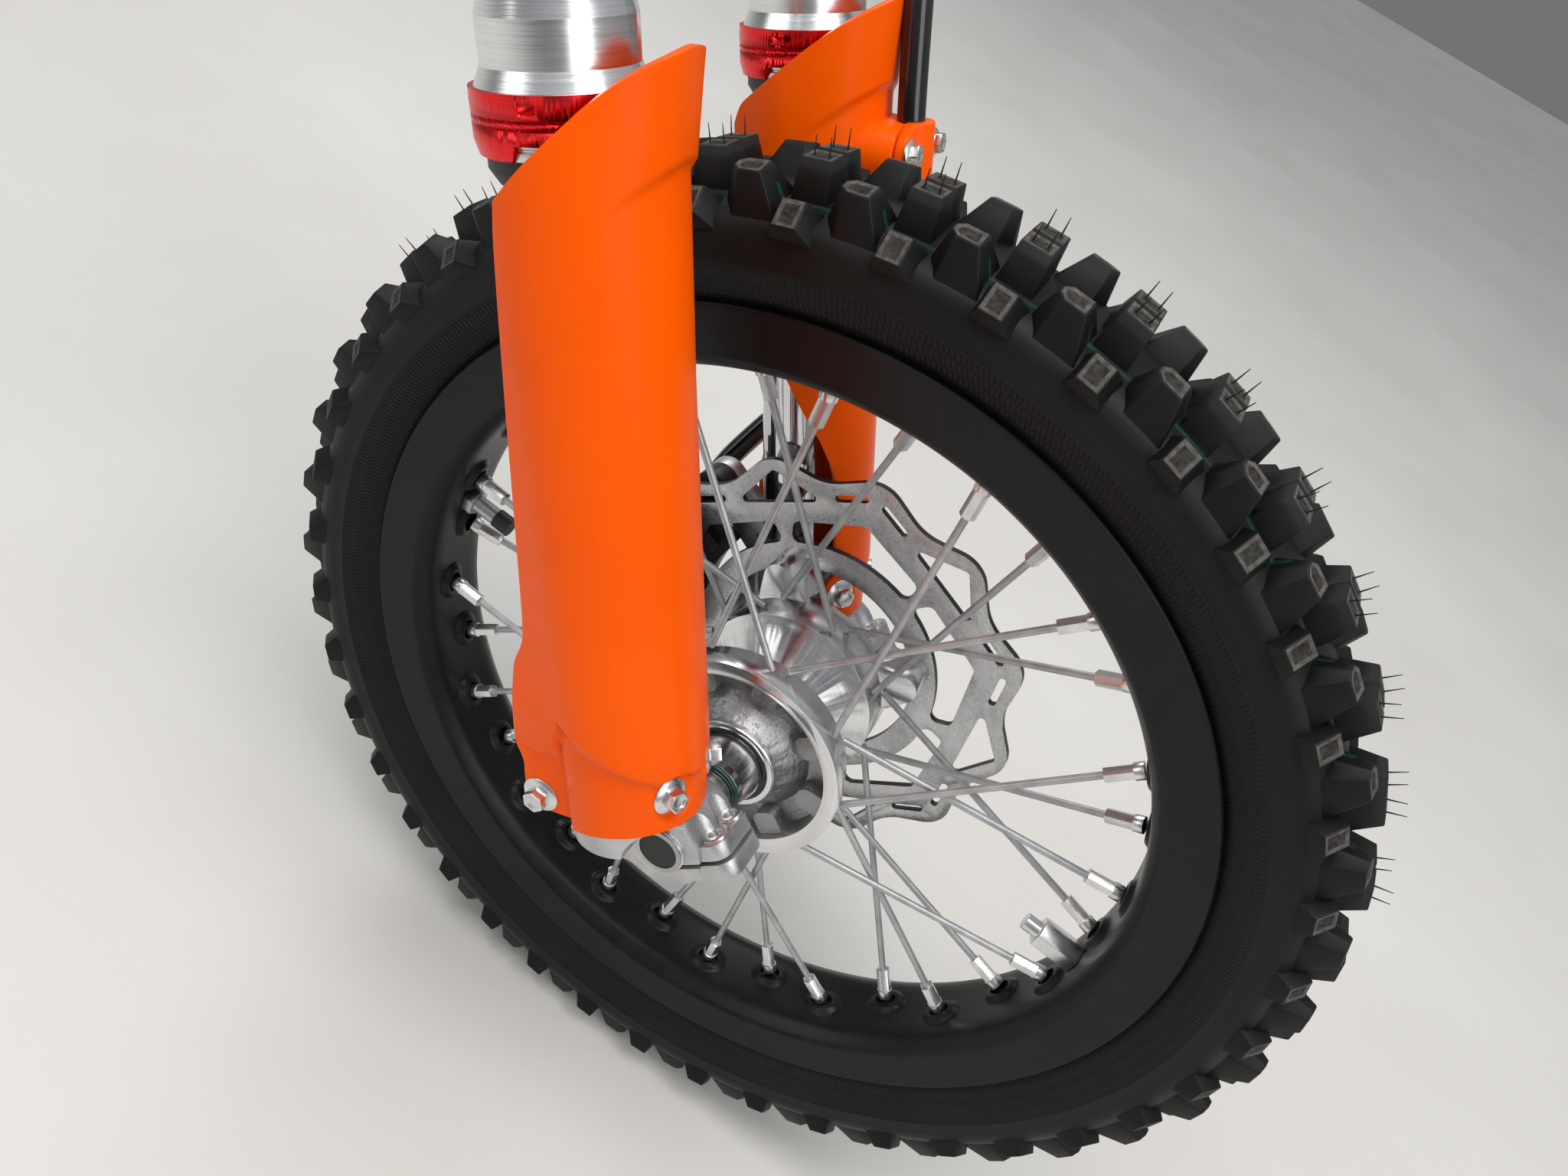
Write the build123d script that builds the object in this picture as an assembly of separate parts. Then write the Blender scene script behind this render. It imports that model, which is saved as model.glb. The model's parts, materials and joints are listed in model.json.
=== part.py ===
from build123d import *
import os
from math import cos, radians, sin, tan

# The front end of a mini motocross bike: fork legs, triple clamps, guards, front brake and spoked wheel.
# Everything is drawn in the steering frame (X forward, Y left, Z up the steering axis, origin in the middle
# of the lower steering bearing) and leaned back by the rake when it is written.
# A wheel piece is drawn about the axle's centre, and an angle there runs from forward towards up.
# A leg piece is drawn about its tube: X forward, Y away from the wheel, Z the station up from the axle.

# Steering geometry
RAKE = 26.0             # steering axis from the vertical, degrees
CLAMP_OFFSET = 22.0     # steering axis to the plane of the fork legs
LEG_SPREAD = 80.0       # middle plane to a fork leg
AXLE_LEAD = 19.0        # fork leg to the axle, forward
AXLE_DROP = 508.0       # lower bearing down to the axle

# Clearances
SEAT_GAP = 0.3          # between curved faces that seat on each other
FIT = 0.05              # running fit on the radius
MOVING_GAP = 5.0        # between the turning wheel and what stands still
PAD_GAP = 0.5           # brake pad to disc

# Tyre
TYRE_R = 239.0          # over the knobs
TYRE_HALF = 33.5        # half the width over the knobs
KNOB_HEIGHT = 12.5      # of the middle knobs
PITCHES = 40            # repeats of the tread round the tyre
KNOB_PHASE = 2.7        # first edge knob, degrees above forward
KNOB_DRAFT = 14.0       # slope of a knob's walls, degrees
KNOB_SINK = 0.6         # of a knob's foot in the carcass
CROWN_HALF = 25.0       # half the width of the flat crown under the middle knobs
SIDE_R = 213.0          # where the tyre is widest below the knobs
CARCASS_HALF = 30.0
BEAD_HALF = 15.0        # half the width between the inner faces of the side walls
CROWN_WALL = 4.5
BEAD_RISE = 1.5         # side wall's foot over the rim's lip

# Rim
RIM_LIP_R = 190.5
RIM_HALF = 23.5
RIM_WALL = 2.8
RIM_BAND = 20.0         # height of the flat outer band
RIM_BED_R = 165.0       # inner face of the spoke bed
BEAD_SEAT_R = 178.2
SPOKE_BOSS_R = 7.0
SPOKE_BOSS_H = 2.4
VALVE_ANGLE = 152.3
RIM_LOCK_ANGLE = -27.7
STEM_HOLE_R = 4.3

# Spokes
SPOKES = 32
SPOKE_PHASE = 0.45      # first spoke hole in the rim, degrees
SPOKE_R = 1.5
SPOKE_REACH = 33.75     # turn of a spoke from its rim hole to its hub hole, degrees
PAIR_SPREAD = 2.2       # of the two holes of a pair in the hub, degrees each way
SPOKE_SPLIT = 3.5       # spoke holes in the rim off the middle plane
NIPPLE_R = 3.2
NIPPLE_LENGTH = 15.0
NIPPLE_FOOT = 4.0       # round foot of a nipple

# Hub
HUB_HALF = 33.0         # over the bearing bosses
HUB_BOSS_R = 20.4
HUB_WAIST_R = 17.0
HUB_BORE_GAP = 0.3
RING_R = 48.2           # cupped flange on the right
RING_FACE_R = 41.5
RING_FACE_Y = -30.0
RING_BACK_Y = -23.5
CUP_FLOOR_Y = -18.5
RIGHT_HOLES_Y = (-21.2, -15.8)
RIGHT_HOLES_R = 45.0
HEAD_SEATS = 8          # cast seats of the spoke heads in the cup
DRUM_R = 41.5           # drilled drum on the left
DRUM_START = 19.5
DRUM_END = 41.0
DRUM_BORE_R = 35.0
LEFT_HOLES_Y = (25.5, 34.0)
EARS = 4
EAR_PHASE = 10.5        # degrees
EAR_PITCH_R = 51.0      # of the disc screws
EAR_R = 7.0
SEAL_R = 18.2
SEAL_DEPTH = 3.0

# Brake disc
DISC_R = 100.0
DISC_T = 3.2
DISC_Y = 53.8           # middle of the disc
LOBES = 12
LOBE_PHASE = 12.2       # degrees
LOBE_CORNER = 3.2       # from the outline's sharp corner down to its rounded tip
LOBE_DEPTH = 12.0       # from the sharp corner to the sharp valley
DISC_INNER_R = 48.8
DISC_WINDOW_R = 60.5    # inner edge of the large windows

# Axle and fork ends
AXLE_R = 10.0
AXLE_BORE_R = 8.0
LUG_INNER = 60.5        # inner face of a fork end from the middle plane
LUG_OUTER = 88.0
LUG_EYE_R = 17.3
SPACER_R = 15.8
SPACER_NECK_R = 11.5
SLIT_RISE = 25.0        # of the clamp slit, degrees above forward
SLIT_DROP = 8.8         # below the axle's centre
SLIT_W = 2.0
CLAMP_EAR = 27.0        # reach of the clamp ears from the axle
CLAMP_EAR_TOP = 7.5     # above the slit
CLAMP_EAR_FOOT = 8.0    # below the slit
PLUG_DEPTH = 12.0
PINCH_REACH = 20.6      # of the pinch screws from the axle
PINCH_PLACES = (-13.0, -1.0)    # outward from the tube
PINCH_SEAT_R = 5.4
REAR_BLOCK_H = 14.0     # block under the guard's rear bolt

# Fork legs, stations up from the axle
TUBE_R = 17.5
TUBE_WALL = 3.0
SOCKET_R = 21.0
SOCKET_TOP = 48.0
SOCKET_FLOOR = 16.0
WIPER_H = 8.0
COLLAR_R = 25.5
COLLAR_FOOT_R = 24.4
COLLAR_BOTTOM = 249.0
COLLAR_H = 17.0
FLARE_R = 24.0
OUTER_THICK_R = 21.8
OUTER_R = 20.0
FORK_TOP = 676.0
CAP_H = 8.0

# Guards, drawn about the tube
GUARD_R = 29.3
GUARD_CENTRE = (4.0, -0.5)      # middle of the round front, forward and outward
GUARD_SKIRT_R = 27.5            # below the shoulder at the fork end
GUARD_SKIRT_CENTRE = (3.5, -1.5)
GUARD_SHOULDER = 60.0           # beside the tube
SHOULDER_SLOPE = 32.0           # down to the front, degrees
GUARD_WALL = 2.4
GUARD_FLAT_WALL = 3.2           # of its flats, which lap under the skirt's edge
SKIRT_BACK = -10.0              # rear edge of the skirt, beside the pad under the rear bolt
SKIRT_TOP = 36.0                # of that edge
GUARD_RIDGE = 112.5             # turn from forward to where the round front goes over into a flat, degrees
GUARD_EDGE = 25.9               # forward reach of the front strip's edge on the wheel side
GUARD_TIP = 276.0
GUARD_SLOPE = 39.9              # of the top edge, degrees
GUARD_BOLTS = ((26.0, 27.6), (-26.0, 29.0))     # turn from forward in degrees, seat's outer face from the tube's axis
BOLT_STATION = 32.0
BOLT_RECESS_R = 9.5
BOLT_BOSS_R = 7.0
REAR_BOLT_X = -23.0
REAR_BOLT_STATION = 21.6
REAR_SEAT = 21.0                # outer face of the guard under the rear bolt

# Caliper, about the axle's centre
CALIPER_IN_R = 64.0
CALIPER_OUT_R = 114.0
CALIPER_START = 136.0   # degrees
CALIPER_SPAN = 46.0
CALIPER_INBOARD = 11.0  # thickness of the inner half
CALIPER_OUTBOARD = 11.3
CALIPER_PISTON_H = 6.0
CALIPER_PISTON_PLACE = 88.0
PISTON_R = 15.0
PISTON_PITCH = 24.0     # degrees
PAD_T = 4.5
CALIPER_ARM_T = 8.0
CALIPER_EAR_R = 9.0
CALIPER_BOLTS = ((-64, 2), (-56, 72))

# Brake hose, clamp and guides; the points are about the left tube and end over the upper clamp
HOSE_R = 5.35
HOSE_X = 43.0           # forward of the left tube
HOSE_CLAMP_STATION = 224.0
HOSE_CLAMP_H = 20.0
HOSE_CLAMP_W = 33.0
HOSE_CLAMP_DEPTH = 12.6         # of its front half
HOSE_CLAMP_SPLIT = 0.2          # middle of the hose to the front half
GUIDE_WALL = 2.6
GUIDE_H = 10.0
HOSE_POINTS = (
    (-57, 5, 52), (-50, 13, 67), (-38, 27, 81), (-22, 38.5, 97), (-3, 43.5, 115), (16.5, 41, 134), (33, 29.5, 153),
    (41, 15, 171), (42.8, 5.5, 189), (43.2, 0.5, 207), (43, 0, 240), (43.4, 0.6, 283), (44.6, 0.8, 340), (45, -0.6, 412),
    (43, -2, 487), (42, -1.2, 548), (42.6, 0.5, 600), (43, 0, 633), (40, -3, 664), (31, -11, 690), (17, -22, 708),
)
BANJO_R = 8.0
BANJO_T = 9.0
FERRULE_R = 6.6
FERRULE_LENGTH = 16.0

# Triple clamps
LOWER_CLAMP_T = 30.0
UPPER_CLAMP_T = 24.0
CLAMP_WALL = 8.0        # round a fork leg
CLAMP_EAR_L = 16.0      # pinch ears behind a fork leg
CLAMP_EAR_W = 28.0
HEAD_LENGTH = 100.0     # middle of the lower bearing to the middle of the upper one
STEM_R = 13.0
STEM_HUB_R = 25.0
BEARING_R = 23.5
BEARING_T = 12.0
RACE_WALL = 3.0
UPPER_COLLAR = 6.0      # dust collar under the upper clamp
STEM_THREAD = 3.0       # stem above the upper clamp
STEM_NUT_R = 17.0
STEM_NUT_H = 10.0
BAR_HOLE_R = 5.25
BAR_HOLE_X = 20.0
BAR_HOLE_Y = 38.0
FENDER_HOLE_R = 2.5
FENDER_HOLE_X = 13.0
FENDER_HOLE_Y = 46.5    # clear of the brake drum and the disc below
FENDER_HOLE_DEPTH = 14.0

# Places worked out from the sizes above
SIDES = {"right": -1, "left": 1}
AXLE = Vector(CLAMP_OFFSET + AXLE_LEAD, 0, -AXLE_DROP)
DISC_FACE = DISC_Y - DISC_T / 2
DISC_BACK = DISC_Y + DISC_T / 2
COLLAR_TOP = COLLAR_BOTTOM + COLLAR_H
LOWER_CLAMP_Z = -BEARING_T / 2 - LOWER_CLAMP_T / 2
UPPER_CLAMP_Z = HEAD_LENGTH + BEARING_T / 2 + UPPER_COLLAR + UPPER_CLAMP_T / 2
STEM_TOP = UPPER_CLAMP_Z + UPPER_CLAMP_T / 2
STEM_BOTTOM = LOWER_CLAMP_Z - LOWER_CLAMP_T / 2


# Helpers

def turned(points, axis=Axis.Z):
    """A solid of revolution from (radius, station) points about the Z or the Y axis."""
    if axis == Axis.Z:
        outline = [(r, 0, s) for r, s in points]
    else:
        outline = [(r, s, 0) for r, s in points]
    return revolve(make_face(Polyline(*outline, close=True)), axis=axis)


def mirrored(half):
    """An outline across the wheel from its left half, which runs from one edge to the other."""
    return half + [(r, -y) for r, y in reversed(half)]


def ring(outer, inner, low, high, axis=Axis.Z):
    """A plain ring between two stations."""
    return turned([(inner, low), (outer, low), (outer, high), (inner, high)], axis)


def plate(outline, low, high):
    """A flat outline, X forward and Y up, as a plate between two stations across the bike."""
    return Pos(0, high, 0) * Rot(90, 0, 0) * extrude(outline, high - low)


def turn(angle):
    """Turns a wheel piece drawn forward of the axle up to an angle."""
    return Rot(0, -angle, 0)


def rod(start, end, radius):
    """A round bar between two points."""
    along = end - start
    return Plane(origin=start, z_dir=along) * Pos(0, 0, along.length / 2) * Cylinder(radius, along.length)


def at_axle(shape):
    """Moves a shape drawn about the wheel's centre to the axle."""
    return Pos(*AXLE) * shape


def on_leg(shape, side):
    """Moves a shape drawn about a tube to the right (-1) or left (1) leg; Y is away from the wheel."""
    if side < 0:
        shape = mirror(shape, Plane.XZ)
    return Pos(CLAMP_OFFSET, side * LEG_SPREAD, -AXLE_DROP) * shape


# Wheel

def tapered(top, foot):
    """A flat-faced solid between two outlines with as many parallel sides."""
    return Solid(Shell([make_face(face.edges()) for face in loft([top, foot], ruled=True).faces()]))


def knob(length, width, height, outline=None):
    """A tread knob with its top on the XY plane and its foot below it; X runs round the tyre, Y across."""
    top = outline if outline else Rectangle(length, width)
    foot = offset(top, height * tan(radians(KNOB_DRAFT)), kind=Kind.INTERSECTION)
    return tapered(top, Pos(0, 0, -height) * foot)


def tread_ring(apothem, station, sides=2 * PITCHES):
    """A polygon across the wheel at a station, with a flat at every knob."""
    return Rot(90, 0, 0) * Pos(0, 0, -station) * Rot(0, 0, KNOB_PHASE + 180 / sides) * RegularPolygon(apothem, sides, False)


def dish(side):
    """What lies outside a side wall, from the bead out to where the tyre is widest."""
    bead = RIM_HALF - RIM_WALL - SEAT_GAP
    depth = CARCASS_HALF - bead
    foot = RIM_LIP_R + BEAD_RISE
    slope = (SIDE_R - foot) / depth
    return tapered(tread_ring(foot, side * bead), tread_ring(SIDE_R + slope, side * (CARCASS_HALF + 1)))


def make_tyre():
    """Flats instead of round faces under the knobs keep each knob's foot in one plane."""
    crown = TYRE_R - KNOB_HEIGHT
    carcass = extrude(tread_ring(crown, 0), CROWN_HALF, both=True)
    for side in SIDES.values():
        carcass = carcass + tapered(tread_ring(crown, side * CROWN_HALF), tread_ring(SIDE_R, side * CARCASS_HALF))
    for side in SIDES.values():
        carcass = carcass - dish(side)
    bead_hole = extrude(tread_ring(BEAD_SEAT_R + SEAT_GAP, 0, PITCHES), 2 * TYRE_HALF, both=True)
    cavity = extrude(tread_ring(crown - CROWN_WALL, 0, PITCHES), BEAD_HALF, both=True)
    carcass = carcass - bead_hole - cavity
    home_plate = make_face(Polyline((-4.3, 5.2), (4.3, 5.2), (4.3, -1.5), (0, -5.2), (-4.3, -1.5), close=True))
    # phase in pitches, place across, radius of the top, lean outwards in degrees, solid
    rows = (
        (0.0, 0.0, TYRE_R, 0.0, knob(10, 24, KNOB_HEIGHT + KNOB_SINK)),
        (0.5, 19.5, TYRE_R - 3, 13.0, knob(0, 0, KNOB_HEIGHT + KNOB_SINK, home_plate)),
        (0.0, TYRE_HALF - 3.7, TYRE_R - 13.5, 42.0, knob(10.5, 8.5, 9)),
    )
    knobs = []
    for phase, across, radius, lean, solid in rows:
        for side in SIDES.values() if across else (1,):
            place = Pos(radius, side * across, 0) * Rot(0, 0, side * lean) * Rot(0, 90, 0) * Rot(0, 0, 90)
            if side < 0:
                place = place * Rot(0, 0, 180)
            for i in range(PITCHES):
                knobs.append(turn(KNOB_PHASE + (i + phase) * 360 / PITCHES) * place * solid)
    return carcass.fuse(*knobs)


def spoke_holes():
    """Rim angle, side, hub angle and station across of every spoke's hole in the hub."""
    holes = []
    for i in range(SPOKES):
        side = 1 if i % 2 == 0 else -1
        lead = -1 if i % 4 < 2 else 1
        angle = SPOKE_PHASE + i * 360 / SPOKES
        rows = LEFT_HOLES_Y if side > 0 else RIGHT_HOLES_Y
        across = rows[0 if lead < 0 else 1]
        holes.append((angle, side, angle + lead * (SPOKE_REACH - PAIR_SPREAD), across))
    return holes


def spoke_line(hole):
    """Ends of one spoke: its seat in the hub and the foot of its nipple in the rim, about the wheel's centre."""
    angle, side, hub_angle, across = hole
    hub_r = (DRUM_R if side > 0 else RIGHT_HOLES_R) + SEAT_GAP
    rim_r = RIM_BED_R - SPOKE_BOSS_H - SEAT_GAP
    hub = Vector(hub_r * cos(radians(hub_angle)), across, hub_r * sin(radians(hub_angle)))
    rim = Vector(rim_r * cos(radians(angle)), side * SPOKE_SPLIT, rim_r * sin(radians(angle)))
    along = (rim - hub).normalized()
    radial = Vector(cos(radians(angle)), 0, sin(radians(angle)))
    slant = radians(along.get_angle(radial))
    return hub + along * SPOKE_R * 1.1, rim - along * NIPPLE_R * 1.15 * sin(slant), along


def make_rim():
    bed = RIM_BED_R + 3
    outer = [
        (RIM_LIP_R, RIM_HALF), (RIM_LIP_R - RIM_BAND, RIM_HALF), (RIM_BED_R + 1.5, RIM_HALF - 5.5), (RIM_BED_R, 10),
    ]
    inner = [
        (RIM_LIP_R, RIM_HALF - RIM_WALL), (BEAD_SEAT_R, RIM_HALF - RIM_WALL), (BEAD_SEAT_R - 1, 13), (bed, 9),
    ]
    body = turned(mirrored(outer) + list(reversed(mirrored(inner))), Axis.Y)
    boss = Pos(RIM_BED_R - SPOKE_BOSS_H / 2 + 0.5, 0, 0) * Rot(0, -90, 0) * Cone(SPOKE_BOSS_R, SPOKE_BOSS_R - 2.5, SPOKE_BOSS_H + 1)
    bosses = [turn(angle) * Pos(0, side * SPOKE_SPLIT, 0) * boss for angle, side, _, _ in spoke_holes()]
    holes = [turn(angle) * Pos(RIM_BED_R, 0, 0) * Rot(0, 90, 0) * Cylinder(STEM_HOLE_R, 20)
             for angle in (VALVE_ANGLE, RIM_LOCK_ANGLE)]
    return body.fuse(*bosses).cut(*holes)


def make_spokes(side):
    bars = []
    for hole in spoke_holes():
        if hole[1] == side:
            hub, rim, along = spoke_line(hole)
            bars.append(rod(hub, rim - along * NIPPLE_LENGTH, SPOKE_R))
    return Compound(children=bars)


def make_nipples():
    """Square-shouldered nipples: a hexagonal shank on a round foot."""
    shapes = []
    shank = extrude(RegularPolygon(NIPPLE_R, 6), NIPPLE_LENGTH - NIPPLE_FOOT)
    foot = Pos(0, 0, NIPPLE_LENGTH - NIPPLE_FOOT / 2) * Cylinder(NIPPLE_R * 1.1, NIPPLE_FOOT)
    nipple = shank + foot
    for hole in spoke_holes():
        _, rim, along = spoke_line(hole)
        shapes.append(Plane(origin=rim - along * NIPPLE_LENGTH, z_dir=along) * nipple)
    return Compound(children=shapes)


def make_hub():
    bore = AXLE_R + HUB_BORE_GAP
    outline = [
        (bore, -HUB_HALF + SEAL_DEPTH), (SEAL_R, -HUB_HALF + SEAL_DEPTH), (SEAL_R, -HUB_HALF), (HUB_BOSS_R, -HUB_HALF),
        (HUB_BOSS_R + 1, -HUB_HALF + 3), (HUB_BOSS_R + 10, CUP_FLOOR_Y), (RING_FACE_R - 0.5, CUP_FLOOR_Y),
        (RING_FACE_R, RING_FACE_Y + 0.8), (RING_FACE_R + 2.5, RING_FACE_Y), (RING_R, RING_FACE_Y), (RING_R, RING_BACK_Y),
        (RIGHT_HOLES_R, RING_BACK_Y + 0.6), (RIGHT_HOLES_R, RIGHT_HOLES_Y[1] + 2.5), (RIGHT_HOLES_R - 6, RIGHT_HOLES_Y[1] + 5),
        (HUB_WAIST_R, -3), (HUB_WAIST_R, 3), (DRUM_R - 3, DRUM_START), (DRUM_R, DRUM_START + 1), (DRUM_R, DRUM_END),
        (DRUM_BORE_R, DRUM_END), (DRUM_BORE_R, HUB_HALF - 6), (HUB_BOSS_R, HUB_HALF - 4), (HUB_BOSS_R, HUB_HALF),
        (SEAL_R, HUB_HALF), (SEAL_R, HUB_HALF - SEAL_DEPTH), (bore, HUB_HALF - SEAL_DEPTH),
    ]
    body = turned(outline, Axis.Y)
    for i in range(EARS):
        # a round eye at the screw that widens to the drum
        pad = Pos(EAR_PITCH_R, 0) * Circle(EAR_R)
        root = Pos(DRUM_R - 1.5, 0) * Rectangle(5, 3.2 * EAR_R)
        ear = plate(make_hull(pad.edges() + root.edges()), DRUM_END - 6, DISC_FACE)
        body = body + turn(EAR_PHASE + i * 360 / EARS) * ear
    for i in range(HEAD_SEATS):
        # a cast seat for a pair of spoke heads, between the cup's floor and its wall
        seat = plate(Pos(RING_FACE_R - 5, 0) * Rectangle(12, 11), CUP_FLOOR_Y - 7, CUP_FLOOR_Y + 1)
        seat = fillet(seat.edges().filter_by(Axis.Y).group_by(Axis.X)[0], 4)
        body = body + turn(SPOKE_PHASE + 22.5 + i * 360 / HEAD_SEATS) * seat
    return body


def make_hub_seals():
    seals = [ring(SEAL_R - FIT, SPACER_R + SEAT_GAP, side * HUB_HALF - SEAL_DEPTH * (side > 0), side * HUB_HALF + SEAL_DEPTH * (side < 0), Axis.Y)
             for side in SIDES.values()]
    return Compound(children=seals)


def lobe_outline():
    """The wavy outer edge of the disc as sharp corners, rounded at the lobes and in the valleys."""
    corner = DISC_R + LOBE_CORNER
    valley = corner - LOBE_DEPTH
    points = []
    for i in range(LOBES):
        for radius, turned_on in ((corner, 0), (valley, 180 / LOBES)):
            a = radians(LOBE_PHASE + i * 360 / LOBES + turned_on)
            points.append((radius * cos(a), radius * sin(a)))
    face = make_face(Polyline(*points, close=True))
    tips = [v for v in face.vertices() if Vector(v.X, v.Y).length > DISC_R]
    valleys = [v for v in face.vertices() if Vector(v.X, v.Y).length < DISC_R]
    face = fillet(tips, 16)
    return fillet([v for v in face.vertices() for w in valleys if (Vector(v.X, v.Y) - Vector(w.X, w.Y)).length < 0.01], 24)


def make_disc():
    blank = lobe_outline()
    # large windows, kidney shaped, with their inner edge round the hub
    window = make_face(Polyline((79, 0), (64, 31), (40, 26), (40, -26), (64, -31), close=True)) - Circle(DISC_WINDOW_R)
    window = fillet(window.vertices(), 3.6)
    # a triangle in every other lobe and two slots in the lobes between them
    triangle = make_face(Polyline((95.5, 0), (80, 22), (80, -22), close=True))
    triangle = fillet(triangle.vertices(), 1.8)
    slot = SlotCenterToCenter(12.5, 3.2)
    cuts = []
    for i in range(LOBES // 2):
        angle = LOBE_PHASE + i * 720 / LOBES
        cuts.append(Rot(0, 0, angle) * window)
        cuts.append(Rot(0, 0, angle + 360 / LOBES) * triangle)
        for side in SIDES.values():
            cuts.append(Rot(0, 0, angle) * Pos(88, side * 10.3) * Rot(0, 0, 90 + side * 28) * slot)
    inner = Circle(DISC_INNER_R)
    for i in range(EARS):
        tab = Rot(0, 0, EAR_PHASE + i * 360 / EARS) * Pos(EAR_PITCH_R + 1, 0) * Circle(EAR_R + 3)
        inner = inner - tab
    for i in range(EARS):
        cuts.append(Rot(0, 0, EAR_PHASE + i * 360 / EARS) * Pos(EAR_PITCH_R, 0) * Circle(2.6))
    face = blank - inner
    for cut in cuts:
        face = face - cut
    return plate(face, DISC_FACE, DISC_BACK)


def stem(angle, rod_r, tip, nut_r, nut_low, nut_high):
    """A threaded stem through the rim's bed at an angle, with its nut."""
    top = RIM_BED_R + 6
    body = Pos(tip, 0, 0) * Rot(0, 90, 0) * Pos(0, 0, (top - tip) / 2) * Cylinder(rod_r, top - tip)
    nut = Pos(nut_low, 0, 0) * Rot(0, 90, 0) * extrude(RegularPolygon(nut_r, 6), nut_high - nut_low)
    return turn(angle) * (body + nut)


def make_valve():
    return stem(VALVE_ANGLE, 3.9, 149, 6.5, RIM_BED_R - 5.3, RIM_BED_R - SEAT_GAP)


def make_valve_cap():
    return turn(VALVE_ANGLE) * Pos(145, 0, 0) * Rot(0, 90, 0) * Cylinder(4.4, 8)


def make_rim_lock():
    return stem(RIM_LOCK_ANGLE, 3.7, 139, 7, 146, RIM_BED_R - SEAT_GAP)


# Fork legs

def make_outer_tube():
    cap_foot = FORK_TOP - CAP_H
    inner = TUBE_R + 1
    return turned([
        (inner, COLLAR_TOP), (FLARE_R, COLLAR_TOP), (OUTER_THICK_R, COLLAR_TOP + 5), (OUTER_THICK_R, COLLAR_TOP + 17),
        (OUTER_R, COLLAR_TOP + 24), (OUTER_R, cap_foot), (inner, cap_foot),
    ])


def make_collar():
    """The red seal collar, with two fine grooves, a notch over the spring ring and recesses under its top."""
    inner = TUBE_R + 1
    body = turned([
        (inner, COLLAR_BOTTOM), (COLLAR_FOOT_R, COLLAR_BOTTOM), (COLLAR_R, COLLAR_BOTTOM + 4), (COLLAR_R, COLLAR_TOP),
        (inner, COLLAR_TOP),
    ])
    for station in (COLLAR_BOTTOM + 8, COLLAR_BOTTOM + 10):
        body = body - ring(COLLAR_R + 1, COLLAR_R - 0.6, station, station + 0.8)
    notch = make_face(Polyline((-6, -1), (6, -1), (4, 4.5), (-4, 4.5), close=True))
    for i in range(3):
        body = body - Rot(0, 0, 30 + i * 120) * Pos(0, 0, COLLAR_BOTTOM) * plate(notch, COLLAR_FOOT_R - 3, COLLAR_R + 2)
    for i in range(6):
        body = body - Rot(0, 0, i * 60) * Pos(COLLAR_R, 0, COLLAR_TOP - 3.4) * Box(2, 5, 2.2)
    return body


def make_wiper():
    low = COLLAR_BOTTOM - WIPER_H
    return turned([
        (TUBE_R + SEAT_GAP, low), (TUBE_R + 2.5, low), (TUBE_R + 5, low + 4), (TUBE_R + 5, COLLAR_BOTTOM),
        (TUBE_R + SEAT_GAP, COLLAR_BOTTOM),
    ])


def make_inner_tube():
    return ring(TUBE_R, TUBE_R - TUBE_WALL, SOCKET_FLOOR, COLLAR_TOP + 90)


def make_cap():
    foot = FORK_TOP - CAP_H
    body = turned([(0, foot), (OUTER_R, foot), (OUTER_R, FORK_TOP - 2), (OUTER_R - 2, FORK_TOP), (0, FORK_TOP)])
    hexagon = Pos(0, 0, FORK_TOP) * extrude(RegularPolygon(12, 6), 6)
    return body + hexagon + Pos(0, 0, FORK_TOP + 8) * Cylinder(5, 4)


def lug_clamp(shape):
    """Moves a shape drawn in the frame of a fork end's clamp slit to the leg."""
    return Pos(AXLE_LEAD, 0, 0) * Rot(0, -SLIT_RISE, 0) * Pos(0, 0, -SLIT_DROP) * shape


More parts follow.
